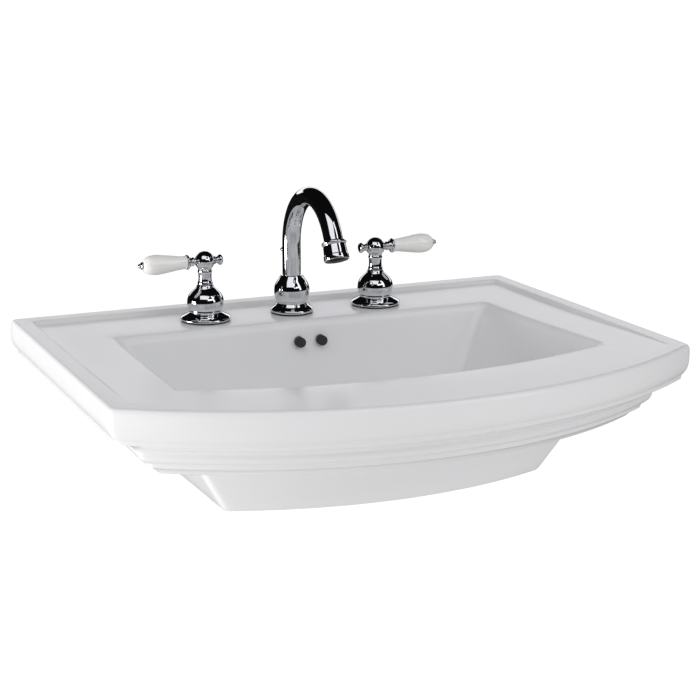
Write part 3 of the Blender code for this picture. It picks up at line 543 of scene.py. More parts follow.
def box_between(low, high):
    low, high = Vector(low), Vector(high)
    clear_selection()
    bpy.ops.mesh.primitive_cube_add(size=1.0)
    piece = bpy.context.object
    piece.matrix_world = Matrix.Translation((low + high) / 2 * MM) @ Matrix.Diagonal(
        (*((high - low) * MM), 1.0)
    )
    return piece


def combine(piece, others, operation="DIFFERENCE"):
    """Cuts the others from a piece, or joins them to it, and removes them."""
    for other in others:
        step = piece.modifiers.new("combine", "BOOLEAN")
        step.operation = operation
        step.object = other
        step.solver = "EXACT"
        apply_all(piece)
        bpy.data.objects.remove(other, do_unlink=True)


def soften(piece, width):
    """Rounds the sharp edges of a piece."""
    step = piece.modifiers.new("soften", "BEVEL")
    step.width = width * MM
    step.segments = 2
    step.limit_method = "ANGLE"
    step.angle_limit = radians(40)
    apply_all(piece)


def circle(centre, along, radius, sides):
    """Points round a centre, across a direction, always starting on the same side."""
    along = Vector(along).normalized()
    side = Vector((1, 0, 0)) if abs(along.x) < 0.9 else Vector((0, 1, 0))
    up = along.cross(side).normalized()
    side = up.cross(along)
    return round_the(Vector(centre), side, up, radius, sides)


def round_the(centre, side, up, radius, sides):
    """Points of a circle, from one direction towards another."""
    turns = [tau * k / sides for k in range(sides)]
    return [centre + radius * (cos(turn) * side + sin(turn) * up) for turn in turns]


def directions(points):
    """The way that a line of points runs, at each of them."""
    ends = zip([points[0], *points[:-1]], [*points[1:], points[-1]])
    return [(Vector(after) - Vector(before)).normalized() for before, after in ends]


# Basin

BACK_STEPS = 16
SIDE_STEPS = 22
BOW_STEPS = 34
CORNER_STEPS = 7


def plan(half, flare, reach, radius, corner, back=0.0, back_corner=BACK_CORNER_R):
    """Outline from above: flat back, flaring sides, bowed front and four rounded corners."""
    tilt = atan(flare)
    arc_y = radius - reach
    back_y = -back - back_corner
    back_x = half + flare * back_corner - back_corner / cos(tilt)
    side = half - flare * back - corner / cos(tilt)
    grown = 1 + flare**2
    centre = side * flare + arc_y
    inside = side**2 + arc_y**2 - (radius - corner) ** 2
    front_y = (centre - sqrt(centre**2 - grown * inside)) / grown
    front_x = side - flare * front_y
    turn = atan2(front_y - arc_y, front_x)
    points = [(back_x * step / BACK_STEPS, -back) for step in range(BACK_STEPS)]
    for step in range(CORNER_STEPS + 1):
        angle = pi / 2 + (tilt - pi / 2) * step / CORNER_STEPS
        points.append((back_x + back_corner * cos(angle), back_y + back_corner * sin(angle)))
    start = Vector(points[-1])
    end = Vector((front_x + corner * cos(tilt), front_y + corner * sin(tilt)))
    points += [tuple(start.lerp(end, step / SIDE_STEPS)) for step in range(1, SIDE_STEPS)]
    for step in range(CORNER_STEPS + 1):
        angle = tilt + (turn - tilt) * step / CORNER_STEPS
        points.append((front_x + corner * cos(angle), front_y + corner * sin(angle)))
    for step in range(1, BOW_STEPS):
        angle = turn + (-pi / 2 - turn) * step / BOW_STEPS
        points.append((radius * cos(angle), arc_y + radius * sin(angle)))
    mirrored = [(-x, y) for x, y in reversed(points[1:])]
    return [*points, (0.0, -reach), *mirrored]


def at_depth(points, depth):
    return [Vector((x, y, RIM_Z - depth)) for x, y in points]


def skirt_ring(depth, inset, back=0.0):
    reach = FRONT_REACH - inset
    points = plan(BACK_HALF - inset, SIDE_FLARE, reach, FRONT_RADIUS - inset, CORNER_R, back)
    return at_depth(points, depth)


def hopper_ring(depth, inset=0.0, back=0.0):
    share = (depth - SHOULDER) / (BASIN_HEIGHT - SHOULDER)
    side_set, front_set, radius = (
        low + (high - low) * share for low, high in (HOPPER_SET, HOPPER_FRONT_SET, HOPPER_RADIUS)
    )
    reach = FRONT_REACH - front_set - inset
    points = plan(BACK_HALF - side_set - inset, 0.0, reach, radius - inset, CORNER_R, back)
    return at_depth(points, depth)


def bowl_plan(depth, inward, grow=0.0):
    fall = depth - DECK_DROP
    corner = BOWL_CORNER_R + 0.1 * max(fall, 0.0) + grow
    return plan(
        BACK_HALF - SIDE_RIM - fall * tan(SIDE_LEAN) - inward + grow,
        BOWL_FLARE,
        FRONT_REACH - FRONT_RIM - fall * tan(FRONT_LEAN) - inward + grow,
        BOWL_FRONT_RADIUS + grow,
        corner,
        BOWL_BACK + fall * tan(BACK_LEAN) + inward - grow,
        corner,
    )


def bowl_ring(depth, inward, grow=0.0):
    return at_depth(bowl_plan(depth, inward, grow), depth + (grow if inward > 0.3 else 0.0))


def deck_drop(y):
    """How far the deck lies below the rim: the whole step at the back, and none in front."""
    first, last = LEDGE_FADES
    share = min(max((-y - first) / (last - first), 0.0), 1.0)
    return DECK_DROP * (1 - share * share * (3 - 2 * share))


def ledge_ring(inset, share):
    """A ring along the step inside the rim, at a share of its height."""
    reach = FRONT_REACH - inset
    corner = max(CORNER_R - inset * 0.3, 3.0)
    points = plan(BACK_HALF - inset, SIDE_FLARE, reach, FRONT_RADIUS - inset, corner, inset)
    return [Vector((x, y, RIM_Z - share * deck_drop(y))) for x, y in points]


def lip_ring(inward, down):
    """A ring of the rounded edge of the bowl, which follows the height of the deck."""
    level, lowered = bowl_plan(down, inward), bowl_plan(DECK_DROP + down, inward)
    points = []
    for high, low in zip(level, lowered):
        drop = deck_drop(low[1])
        spot = Vector(high).lerp(Vector(low), drop / DECK_DROP)
        points.append(Vector((*spot, RIM_Z - drop - down)))
    return points


def between_rings(first, second, shares):
    rings = []
    for share in shares:
        row = [a.lerp(b, share) for a, b in zip(first, second)]
        rings.append([Vector((p.x, p.y, RIM_Z - deck_drop(p.y))) for p in row])
    return rings


def towards_drain(points, share, radius, depth):
    """A ring of the floor, part of the way from the walls' foot to a circle round the drain."""
    moved = []
    for point in points:
        spoke = Vector((point.x, point.y - DRAIN_Y))
        spot = spoke.lerp(spoke.normalized() * radius, share)
        moved.append(Vector((spot.x, DRAIN_Y + spot.y, RIM_Z - depth)))
    return moved


# Mouldings of the skirt, downwards: (depth, inset), and a corner's radius
MOULDINGS = [
    (0.0, LEDGE * 0.6), (0.0, TOP_EDGE_R - 1.0, 0.0), (0.0, TOP_EDGE_R - 1.0), (0.5, 2.9),
    (1.8, 1.2), (4.2, 0.2), (7.0, 0.0), (15.0, 0.0), (21.0, 0.5), (26.5, 2.2), (31.0, 5.2, 0.7),
    (32.2, 6.6, 0.6), (36.4, 7.0, 0.8), (37.6, 12.5), (40.6, 20.0), (45.0, 26.8),
    (49.2, 30.4, 0.8), (50.2, 32.4, 0.6), (54.5, 33.0), (58.5, 35.2), (62.0, 39.4, 0.7),
    (63.4, 42.0, 0.7), (67.6, 43.2, 0.8), (69.6, 47.4), (73.0, 52.0), (SHOULDER, 55.6, 0.8),
    (SHOULDER + 0.5, 62.0),
]
# The rounded step between the rim and the deck: (inset from its middle, share of its height)
STEP = [
    (-3.6, 0.0), (-2.6, 0.02), (-1.7, 0.12), (-0.8, 0.36), (0.0, 0.6), (0.8, 0.83), (1.7, 0.96),
    (2.8, 1.0),
]
# The rounded edge of the bowl: (out from the wall, below the deck)
LIP = [(6.4, 0.0), (4.6, 0.18), (3.1, 0.7), (1.9, 1.6), (1.0, 2.8), (0.4, 4.3), (0.0, 6.2)]
# How the wall curves into the floor: (depth, inward)
FOOT = [
    (90.0, 0.3), (97.0, 1.6), (103.5, 4.4), (109.0, 8.6), (113.3, 14.0), (116.2, 20.6),
    (FOOT_DEPTH, 29.0),
]
HOLLOW = [(66.0, 68.0), (57.0, 51.0), (46.0, 42.0), (37.0, 28.0), (30.0, 19.0)]


def basin_rings():
    """All rings of the china: from the foot up the outside, into the bowl and back underneath."""
    seat_inside = hopper_ring(BASIN_HEIGHT - 2.0, CHINA, CHINA)
    rings = [seat_inside, hopper_ring(BASIN_HEIGHT, CHINA - 2.5, CHINA - 2.5)]
    for up, inset in ((0.0, 2.5), (0.7, 0.7), (2.4, 0.0)):
        rings.append(hopper_ring(BASIN_HEIGHT - up, inset))
    for share in (0.75, 0.5, 0.25):
        rings.append(hopper_ring(SHOULDER + (BASIN_HEIGHT - SHOULDER) * share))
    for down, inset in ((4.5, 0.0), (2.2, -0.8), (1.0, -3.0)):
        rings.append(hopper_ring(SHOULDER + down, inset))
    profile = outline(MOULDINGS, steps=3)
    rings += [skirt_ring(depth, inset) for depth, inset in reversed(profile)][:-1]
    rings += [ledge_ring(LEDGE + inset, share) for inset, share in STEP]
    lip = [lip_ring(-out, down) for out, down in LIP]
    rings += between_rings(rings[-1], lip[0], (0.25, 0.5, 0.75)) + lip
    rings += [bowl_ring(depth, 0.0) for depth in (14.0, 22.0, 34.0, 48.0, 62.0, 76.0, 84.0)]
    foot = [bowl_ring(depth, inward) for depth, inward in outline(FOOT, steps=2)]
    rings += foot
    floor = foot[-1]
    edge = FLANGE_R + 0.8
    for share in (0.2, 0.4, 0.6, 0.8, 0.95):
        depth = FOOT_DEPTH + (DRAIN_DEPTH - FOOT_DEPTH) * share
        rings.append(towards_drain(floor, share, edge + 1.2, depth))
    recess = [(edge + 1.2, 0.0), (edge + 0.3, 0.3), (edge, 1.0), (edge, 2.5), (DRAIN_HOLE_R, 2.5)]
    for radius, depth in recess:
        rings.append(towards_drain(floor, 1.0, radius, DRAIN_DEPTH + depth))
    rings.append(towards_drain(floor, 1.0, DRAIN_HOLE_R, BASIN_HEIGHT))
    boss = FLANGE_R + 9.0
    rings.append(towards_drain(floor, 1.0, boss - 1.5, BASIN_HEIGHT))
    rings.append(towards_drain(floor, 1.0, boss, BASIN_HEIGHT - 1.5))
    under_floor = FOOT_DEPTH + BOWL_CHINA
    outside_foot = bowl_ring(FOOT_DEPTH, 28.0, BOWL_CHINA)
    rings.append(towards_drain(outside_foot, 1.0, boss, under_floor + 3.0))
    rings.append(towards_drain(outside_foot, 0.5, boss, under_floor + 1.2))
    for depth, inward in reversed(outline(FOOT, steps=1)):
        rings.append(bowl_ring(depth, inward, BOWL_CHINA))
    underside = DECK_DROP + DECK_THICK
    rings += [bowl_ring(depth, 0.0, BOWL_CHINA) for depth in (60.0, 30.0, underside + 3.0)]
    rings.append(bowl_ring(underside, 0.0, BOWL_CHINA + 3.0))
    rings += [skirt_ring(underside, 19.0, CHINA + 3.0), skirt_ring(underside + 3.0, 15.5, CHINA)]
    rings += [skirt_ring(depth, inset, CHINA) for depth, inset in reversed(HOLLOW)]
    rings += [hopper_ring(SHOULDER + down, CHINA, CHINA) for down in (-6.0, 8.0)]
    return [*rings, seat_inside]


def round_over(piece, spots, reach, width):
    """Bevels the rims of holes: the sharp edges that have both ends close to a spot."""
    edit(piece, "DESELECT")
    shape = bmesh.from_edit_mesh(piece.data)
    for edge in shape.edges:
        sharp = len(edge.link_faces) == 2 and edge.calc_face_angle(0.0) > radians(50)
        ends = [vertex.co / MM for vertex in edge.verts]
        near = any(all((end - Vector(spot)).length < reach for end in ends) for spot in spots)
        if sharp and near:
            edge.select = True
    bmesh.update_edit_mesh(piece.data)
    bpy.ops.mesh.bevel(offset=width * MM, segments=3, profile=0.5, clamp_overlap=True)
    bpy.ops.object.mode_set(mode="OBJECT")


def basin():
    china = wrapped(basin_rings())
    overflow_y = -BOWL_BACK - (OVERFLOW_DEPTH - DECK_DROP) * tan(BACK_LEAN)
    overflow_z = RIM_Z - OVERFLOW_DEPTH
    overflows = {}
    cutters = []
    for side, label in ((-1, "left"), (1, "right")):
        x, y, z = overflows[label] = (side * OVERFLOW_HALF_SPREAD, overflow_y, overflow_z)
        cutters.append(rod_between((x, y - 8, z), (x, y + 6.5, z), OVERFLOW_R, 40))
        bolt_x = side * BOLT_HALF_SPREAD
        cutters.append(rod_between((bolt_x, 5, 0), (bolt_x, -CHINA - 5, 0), BOLT_HOLE_R, 32))
    high, low = DECK_Z + 5, DECK_Z - DECK_THICK - 5
    for x, radius, sides in (
        *((x, HANDLE_HOLE_R, 40) for x in HANDLE_X.values()),
        (0, SPOUT_HOLE_R, 48),
    ):
        cutters.append(rod_between((x, FAUCET_Y, high), (x, FAUCET_Y, low), radius, sides))
    combine(china, cutters)
    round_over(china, overflows.values(), OVERFLOW_R + 2.5, 0.9)
    settle(china, 38)
    stands_for(china, "basin")
    for label, place in overflows.items():
        # A dark cup set inside each overflow hole, in the black rubber finish: painted shade for
        # the dark channel behind the hole, not a real part
        cup_outline = [(0, -8.0, 0.0), (OVERFLOW_R + 0.05, -8.0, 0.5), (OVERFLOW_R + 0.05, -1.6)]
        dark = turned(cup_outline, place, (-pi / 2, 0, 0), 32)
        dark.name = f"overflow_shadow_{label}"
        dark.data.materials.append(FINISHES["rubber"])
        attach(dark, BODY_OF["basin"])


# Faucet

FLANGE_BOTTOM = 2.0
NUT_Z = DECK_Z - DECK_THICK - WASHER - GAP - NUT / 2

BELL = [
    (STEM_R + 3.4, BELL_TOP, 0.2), (8.6, BELL_TOP, 0.5), (8.9, 39.2), (10.4, 36.6),
    (14.0, 33.2), (17.4, 29.6), (19.4, 25.2), (20.0, 20.6), (19.8, 16.2), (18.9, 12.8, 0.5),
    (18.0, 11.6, 0.5), (17.8, 10.2, 0.5), (18.9, 9.2), (21.6, 7.6), (25.4, 5.8),
    (27.7, 4.4, 1.0), (28.0, FLANGE_BOTTOM, 0.3), (14.5, FLANGE_BOTTOM, 0.2), (14.5, 16.0),
    (12.0, 24.0), (STEM_R + 3.4, 31.0, 0.0), (STEM_R + 3.4, BELL_TOP),
]


def thread(radius, top, bottom, depth=0.55, pitch=1.4):
    """Outline of a screw thread, as grooves down a shank."""
    turns = round((top - bottom) / pitch)
    step = (top - bottom) / turns
    points = []
    for turn in range(turns):
        height = top - turn * step
        points += [(radius, height - 0.15 * step, 0.0), (radius - depth, height - 0.6 * step, 0.0)]
    return points


def hexagon_nut(node, centre, height, radius, bore, along=(0, 0, 1), spin=pi / 6, soft=0.6):
    """A nut whose middle is at the centre."""
    along = Vector(along).normalized()
    clear_selection()
    bpy.ops.mesh.primitive_cylinder_add(vertices=6, radius=radius * MM, depth=height * MM)
    piece = bpy.context.object
    facing = along.to_track_quat("Z", "Y").to_matrix().to_4x4() @ Matrix.Rotation(spin, 4, "Z")
    piece.matrix_world = Matrix.Translation(Vector(centre) * MM) @ facing
    pick(piece)
    bpy.ops.object.transform_apply(location=True, rotation=True, scale=True)
    reach = along * height
    hole = rod_between(Vector(centre) - reach, Vector(centre) + reach, bore, 40)
    combine(piece, [hole])
    soften(piece, soft)
    stands_for(settle(piece), node)


def handle(label, side):
    x = HANDLE_X[label]
    axis = (x, FAUCET_Y, DECK_Z)
    lever = (x, FAUCET_Y, DECK_Z + LEVER_HEIGHT)
    outward = (0, side * pi / 2, 0)
    inward = (0, -side * pi / 2, 0)

    def piece(node, knots, place=axis, tilt=(0, 0, 0), sides=48):
        spun(f"{label}_{node}", knots, place, tilt, sides)

    piece("escutcheon", BELL, sides=72)
    piece("escutcheon_gasket", ring(26.6, VALVE_R + 3.0, 1.7, GAP), sides=64)
    shank = thread(VALVE_R, -2.0, -46.0)
    body = [
        (STEM_R + RUN, 19.0, 0.2), (10.0, 19.0, 0.5), (10.0, 2.0, 0.0), (VALVE_R, 0.0, 0.0),
        *shank, (10.4, -48.0, 0.0), (10.4, -72.0, 0.4), (6.0, -72.0, 0.3), (6.0, -22.0, 0.0),
        (STEM_R + RUN, -18.0, 0.0), (STEM_R + RUN, 19.0),
    ]
    valve = turned(body, axis, sides=40)
    port_z = DECK_Z - PORT_DROP
    port_start, port_end = (x - side * (VALVE_R + reach) for reach in (-5.0, PORT_REACH))
    port = rod_between((port_start, FAUCET_Y, port_z), (port_end, FAUCET_Y, port_z), PORT_R)
    combine(valve, [port], "UNION")
    stands_for(settle(valve), f"{label}_valve_body")
    under = -DECK_THICK
    piece("deck_washer", ring(23.0, VALVE_R + GAP, under - GAP, under - WASHER, 0.5), sides=56)
    hexagon_nut(f"{label}_lock_nut", (x, FAUCET_Y, NUT_Z), NUT, 20.0, VALVE_R + GAP)

    bottom = BELL_TOP + RUN
    ball = [radians(degrees) for degrees in range(12, 118, 15)]
    hub = [
        (0, LEVER_HEIGHT + BALL_R),
        *((BALL_R * sin(turn), LEVER_HEIGHT + BALL_R * cos(turn)) for turn in ball),
        (7.5, 58.2, 0.4), (7.0, 57.0, 0.4), (7.7, 56.0, 0.4), (7.9, 54.2, 0.5),
        (7.2, 52.8, 0.3), (7.1, 48.0), (7.3, 44.2, 0.4), (8.0, 43.0, 0.5), (8.3, bottom, 0.3),
        (STEM_R + GAP, bottom, 0.2), (STEM_R + GAP, 50.0, 0.0), (0, 50.0),
    ]
    neck = turned(hub, axis, sides=64)
    through = Vector((BALL_R + 4, 0, 0))
    bore = rod_between(Vector(lever) - through, Vector(lever) + through, STUD_R + GAP)
    screw_z = DECK_Z + 45.0
    screw_hole = rod_between((x, FAUCET_Y + 4.0, screw_z), (x, FAUCET_Y + 12.0, screw_z), 1.8, 24)
    combine(neck, [bore, screw_hole])
    stands_for(settle(neck), f"{label}_hub")
    screw = [(0, 5.9), (0.7, 5.9, 0.0), (0.8, 7.0, 0.0), (1.4, 7.0, 0.2), (1.5, 3.5, 0.0), (0, 3.5)]
    piece("set_screw", screw, (x, FAUCET_Y, screw_z), (-pi / 2, 0, 0), sides=20)

    collar = [
        (0, 21.0), (7.9, 21.0, 0.3), (8.2, 20.2), (7.9, 19.2, 0.4), (5.6, 18.0, 0.4),
        (5.1, 16.4), (4.1, 15.0, 0.3), (5.0, 14.1, 0.3), (5.0, 13.1, 0.3), (3.8, 12.2, 0.3),
        (3.8, BALL_R + GAP, 0.1), (STUD_R, BALL_R + GAP, 0.0), (STUD_R, 4.5, 0.0), (0, 4.5),
    ]
    piece("lever_collar", collar, lever, outward, sides=40)
    grip = [
        (2.4, 21.3, 0.2), (7.4, 21.3, 0.6), (7.1, 25.0), (8.0, 33.0), (9.5, 43.0), (10.7, 52.0),
        (10.8, 58.0), (9.7, 64.4), (7.2, 68.6), (5.0, 70.2, 0.5), (2.4, 70.2, 0.2), (2.4, 21.3),
    ]
    piece("lever_grip", grip, lever, outward, sides=56)
    tip = [
        (0, 75.7), (1.2, 75.5), (2.2, 74.8), (2.6, 73.9), (2.2, 73.0, 0.3), (3.2, 72.5, 0.3),
        (4.3, 71.6, 0.3), (4.3, 70.5, 0.2), (1.6, 70.5, 0.0), (1.6, 22.0, 0.0), (0, 22.0),
    ]
    piece("lever_tip", tip, lever, outward, sides=32)
    stub = [
        (0, 20.5), (2.2, 20.3), (4.4, 19.6), (5.6, 18.6), (5.8, 17.2), (5.2, 16.0, 0.4),
        (3.9, 14.8, 0.4), (3.5, 13.2), (3.6, 12.5, 0.3), (4.3, 11.8, 0.2),
        (4.3, BALL_R + GAP, 0.1), (STUD_R, BALL_R + GAP, 0.0), (STUD_R, 4.5, 0.0), (0, 4.5),
    ]
    piece("counter_stub", stub, lever, inward, sides=36)
    connecting_hose(label, side)


def connecting_hose(label, side):
    valve_x = abs(HANDLE_X[label]) - VALVE_R - PORT_REACH
    port_z, tee_z = DECK_Z - PORT_DROP, DECK_Z - TEE_DROP
    knots = [
        (valve_x - GAP, port_z),
        (valve_x - 7.0, port_z),
        (valve_x - 16.0, port_z - 2.5),
        ((valve_x + TEE_ARM) / 2, (port_z + tee_z) / 2 - 2.0),
        (TEE_ARM + 16.0, tee_z - 1.0),
        (TEE_ARM + 7.0, tee_z),
        (TEE_ARM + GAP, tee_z),
    ]
    route = [Vector((side * x, FAUCET_Y, z)) for x, z in knots]
    points = [*curve_through(route, 6), route[-1]]
    up = Vector((0, 1, 0))
    rings = []
    for point, way in zip(points, directions(points)):
        rings.append(round_the(point, way.cross(up).normalized(), up, HOSE_R, HOSE_SIDES))
    hose = wrapped(rings)
    edit(hose, "DESELECT")
    bpy.ops.mesh.select_non_manifold()
    bpy.ops.mesh.fill_holes(sides=HOSE_SIDES)
    bpy.ops.object.mode_set(mode="OBJECT")
    stands_for(settle(hose, 50), f"{label}_hose")
    for end, x, way, z in (("valve", valve_x, -1, port_z), ("tee", TEE_ARM, 1, tee_z)):
        node = f"{label}_hose_nut_{end}"
        centre = (side * (x - way * 1.0), FAUCET_Y, z)
        hexagon_nut(node, centre, 10.0, PORT_R + 2.0, HOSE_R + GAP, (side, 0, 0), 0.0, 0.5)


def arch_points():
    """The middle of the spout tube: straight up, over in an arc and straight down its nose."""
    points = []
    for share in (0.0, 0.25, 0.5, 0.75, 1.0):
        height = TUBE_FOOT + (ARCH_START - TUBE_FOOT) * share
        points.append(Vector((0, FAUCET_Y, DECK_Z + height)))
    for step in range(1, ARCH_STEPS + 1):
        angle = ARCH_SWEEP * step / ARCH_STEPS
        y = FAUCET_Y - ARCH_RADIUS * (1 - cos(angle))
        points.append(Vector((0, y, DECK_Z + ARCH_START + ARCH_RADIUS * sin(angle))))
    return [*points, points[-1] + Vector((0, -sin(ARCH_SWEEP), cos(ARCH_SWEEP))) * NOSE]


SPOUT_BASE = [
    (SHANK_R - 1.6, BULB_TOP, 0.2), (12.3, BULB_TOP, 0.5), (12.8, 41.3), (14.2, 38.8),
    (16.9, 34.8), (18.9, 30.4), (19.6, 25.6), (19.2, 19.6), (18.0, 14.6, 0.4),
    (17.2, 13.4, 0.4), (17.2, 11.6, 0.4), (18.2, 10.4, 0.4), (19.4, 8.6), (21.4, 6.8),
    (23.2, 5.4), (24.0, 4.2, 0.8), (24.0, FLANGE_BOTTOM, 0.3), (SHANK_R, FLANGE_BOTTOM, 0.0),
    *thread(SHANK_R, 1.0, -31.0, 0.5), (SHANK_R - 0.4, -32.0, 0.0), (SHANK_R - 2.6, -32.0, 0.2),
    (SHANK_R - 2.6, 8.0, 0.0), (SHANK_R - 1.6, 14.0, 0.0), (SHANK_R - 1.6, BULB_TOP),
]


def spout():
    axis = (0, FAUCET_Y, DECK_Z)
    base = turned(SPOUT_BASE, axis, sides=72)
    boss = rod_between((0, LIFT_Y, DECK_Z + 3.0), (0, LIFT_Y, DECK_Z + 29.0), LIFT_R + 2.6, 32)
    soften(boss, 0.8)
    rod_way = rod_between((0, LIFT_Y, DECK_Z - 25.0), (0, LIFT_Y, DECK_Z + 42.0), LIFT_R + RUN, 24)
    combine(base, [boss], "UNION")
    combine(base, [rod_way])
    stands_for(settle(base), "spout_base")
    spun("spout_gasket", ring(23.3, 20.8, 1.7, GAP), axis, sides=64)
    washer = ring(25.0, SHANK_R + GAP, -DECK_THICK - GAP, -DECK_THICK - WASHER, 0.5)
    spun("spout_washer", washer, axis, sides=56)
    hexagon_nut("spout_lock_nut", (0, FAUCET_Y, NUT_Z), NUT, 16.8, SHANK_R + GAP)

    centre = arch_points()
    ways = directions(centre)
    outer, inner = (
        [circle(point, way, radius, 56) for point, way in zip(centre, ways)]
        for radius in (TUBE_R, TUBE_R - TUBE_WALL)
    )
    tube = wrapped([*outer, *reversed(inner), outer[0]])
    stands_for(settle(tube), "spout_tube")

    supply = ring(SUPPLY_R, SUPPLY_R - 1.8, 8.3, -44.0)
    spun("supply_tube", supply, axis, sides=36)
    tee = [
        (SUPPLY_R + GAP, -35.3, 0.2), (9.6, -35.3, 0.5), (9.6, -TEE_DROP - 10.0, 0.8),
        (0, -TEE_DROP - 10.0, 0.0), (0, -50.0, 0.0), (SUPPLY_R + GAP, -50.0, 0.0),
        (SUPPLY_R + GAP, -35.3),
    ]
    made = turned(tee, axis, sides=40)
    tee_z = DECK_Z - TEE_DROP
    arms = []
    for way in (-1, 1):
        start, end = ((way * x, FAUCET_Y, tee_z) for x in (7.0, TEE_ARM))
        arms.append(rod_between(start, end, PORT_R))
    combine(made, arms, "UNION")
    stands_for(settle(made), "supply_tee")
    aerator(centre[-1])


def aerator(end):
    """Nozzle round the tube's end, with a woven screen inside. +Z points back up the tube."""
    tilt = (ARCH_SWEEP - pi, 0, 0)
    housing = [
        (TUBE_R + 0.15, 7.0, 0.1), (11.0, 7.2, 0.3), (12.4, 6.7), (13.2, 5.4), (13.2, 4.2),
        (12.5, 3.2, 0.3), (12.1, 2.4, 0.3), (12.3, 0.0), (12.8, -7.6, 0.3), (13.5, -8.6, 0.4),
        (13.5, -12.4, 0.6), (13.1, -13.8, 0.4), (12.4, -13.8, 0.2), (12.4, -11.0, 0.0),
        (10.9, -11.0, 0.0), (10.9, -4.0, 0.0), (TUBE_R + 0.15, -4.0, 0.0), (TUBE_R + 0.15, 7.0),
    ]
    spun("aerator_housing", housing, end, tilt, sides=64)
    cup_outline = [
        (10.6, -6.1, 0.2), (10.6, -11.3, 0.0), (12.1, -11.3, 0.2), (12.1, -13.1, 0.3),
        (9.5, -12.4, 0.4), (9.5, -6.1, 0.2), (10.6, -6.1),
    ]
    cup = turned(cup_outline, end, tilt, sides=48)
    clear_selection()
    bpy.ops.mesh.primitive_grid_add(x_subdivisions=15, y_subdivisions=15, size=19.2 * MM)
    screen = bpy.context.object
    edit(screen, "DESELECT")
    shape = bmesh.from_edit_mesh(screen.data)
    outside = [vertex for vertex in shape.verts if vertex.co.length > 9.5 * MM]
    bmesh.ops.delete(shape, geom=outside, context="VERTS")
    bmesh.update_edit_mesh(screen.data)
    bpy.ops.object.mode_set(mode="OBJECT")
    wires = screen.modifiers.new("wires", "WIREFRAME")
    wires.thickness = 0.36 * MM
    wires.use_even_offset = False
    apply_all(screen)
    turn = Matrix.Translation(Vector(end) * MM) @ Matrix.Rotation(tilt[0], 4, "X")
    screen.matrix_world = turn @ Matrix.Translation((0, 0, -8.6 * MM))
    settle(screen)
    pick(cup)
    screen.select_set(True)
    bpy.ops.object.join()
    stands_for(cup, "aerator_insert")


# Pop-up linkage and drain


def lift_linkage():
    deck = (0, LIFT_Y, DECK_Z)
    knob = [
        (0, 72.9), (1.6, 72.7), (3.0, 71.9), (4.2, 70.7), (6.3, 69.0, 0.5), (6.3, 67.9, 0.5),
        (4.6, 66.4), (3.5, 65.0, 0.3), (4.1, 64.2, 0.3), (4.0, 63.2, 0.3), (3.2, 62.8, 0.1),
        (LIFT_R + GAP, 62.8, 0.0), (LIFT_R + GAP, 67.5, 0.0), (0, 67.5),
    ]
    spun("lift_knob", knob, deck, sides=36)
    low, high = (edge.z / MM - DECK_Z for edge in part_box("lift_rod"))
    rod = [(0, high), (LIFT_R, high, 0.2), (LIFT_R, low, 0.5), (0, low)]
    spun("lift_rod", rod, deck, sides=28)

    crossing = PIVOT_Z + (STRAP_Y - PIVOT_Y) * tan(PIVOT_TILT)
    screw_z = crossing + 44.0
    thin = 0.8
    strap = box_between((-5, STRAP_Y - thin, crossing - 7), (5, STRAP_Y + thin, crossing + 52))
    head = box_between((-5, LIFT_Y - 5, crossing + 38), (5, STRAP_Y, crossing + 50))
    combine(strap, [head], "UNION")
    tidy(strap)
    soften(strap, 0.25)
    ways = [rod_between((0, LIFT_Y, crossing + 30), (0, LIFT_Y, crossing + 60), LIFT_R + GAP, 24)]
    ways.append(rod_between((0, LIFT_Y - 12, screw_z), (0, LIFT_Y, screw_z), 1.9, 24))
    for number in range(3):
        z = crossing + 12.0 * number
        ways.append(rod_between((0, STRAP_Y - 4, z), (0, STRAP_Y + 4, z), PIVOT_ROD_R + 1.0, 32))
    combine(strap, ways)
    stands_for(settle(strap), "clevis_strap")
    screw = [
        (0, 13.0), (4.4, 13.0, 0.3), (5.0, 12.4, 0.2), (5.0, 11.5, 0.3), (2.6, 10.8, 0.2),
        (2.6, 5.3, 0.1), (1.6, 5.3, 0.0), (1.6, LIFT_R + GAP, 0.0), (0, LIFT_R + GAP),
    ]
    spun("clevis_screw", screw, (0, LIFT_Y, screw_z), (pi / 2, 0, 0), sides=28)
    clip_low, clip_high = (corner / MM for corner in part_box("spring_clip"))
    clip = box_between(clip_low, clip_high)
    inside_low = clip_low + Vector((-1.0, 0.9, 0.9))
    inside_high = clip_high + Vector((1.0, -0.9, 5.0))
    start, end = ((0, STRAP_Y + reach, crossing) for reach in (-8, 8))
    hole = rod_between(start, end, PIVOT_ROD_R + 1.2)
    combine(clip, [box_between(inside_low, inside_high), hole])
    soften(clip, 0.2)
    stands_for(settle(clip), "spring_clip")


def pivot():
    half_angle = atan2(PIVOT_ROD_R, sqrt(PIVOT_BALL_R**2 - PIVOT_ROD_R**2))
    ball = []
    for step in range(13):
        angle = half_angle + (pi - 2 * half_angle) * step / 12
        ball.append((PIVOT_BALL_R * sin(angle), PIVOT_BALL_R * cos(angle), 0.0))
    outer = STRAP_Y - PIVOT_Y + 10.0
    rod = [
        (0, outer), (PIVOT_ROD_R, outer, 0.6), *ball, (PIVOT_ROD_R, -PIVOT_ARM - 3.0, 0.6),
        (0, -PIVOT_ARM - 3.0),
    ]
    lay_down = (PIVOT_TILT - pi / 2, 0, 0)
    spun("pivot_rod", rod, (0, PIVOT_Y, PIVOT_Z), lay_down, sides=28)
    low, high = (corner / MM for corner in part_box("pivot_nut"))
    centre = (0, (low.y + high.y) / 2, PIVOT_Z)
    bore = PIVOT_ROD_R + 2.7
    hexagon_nut("pivot_nut", centre, high.y - low.y, 14.5, bore, (0, 1, 0), 0.0, 0.7)


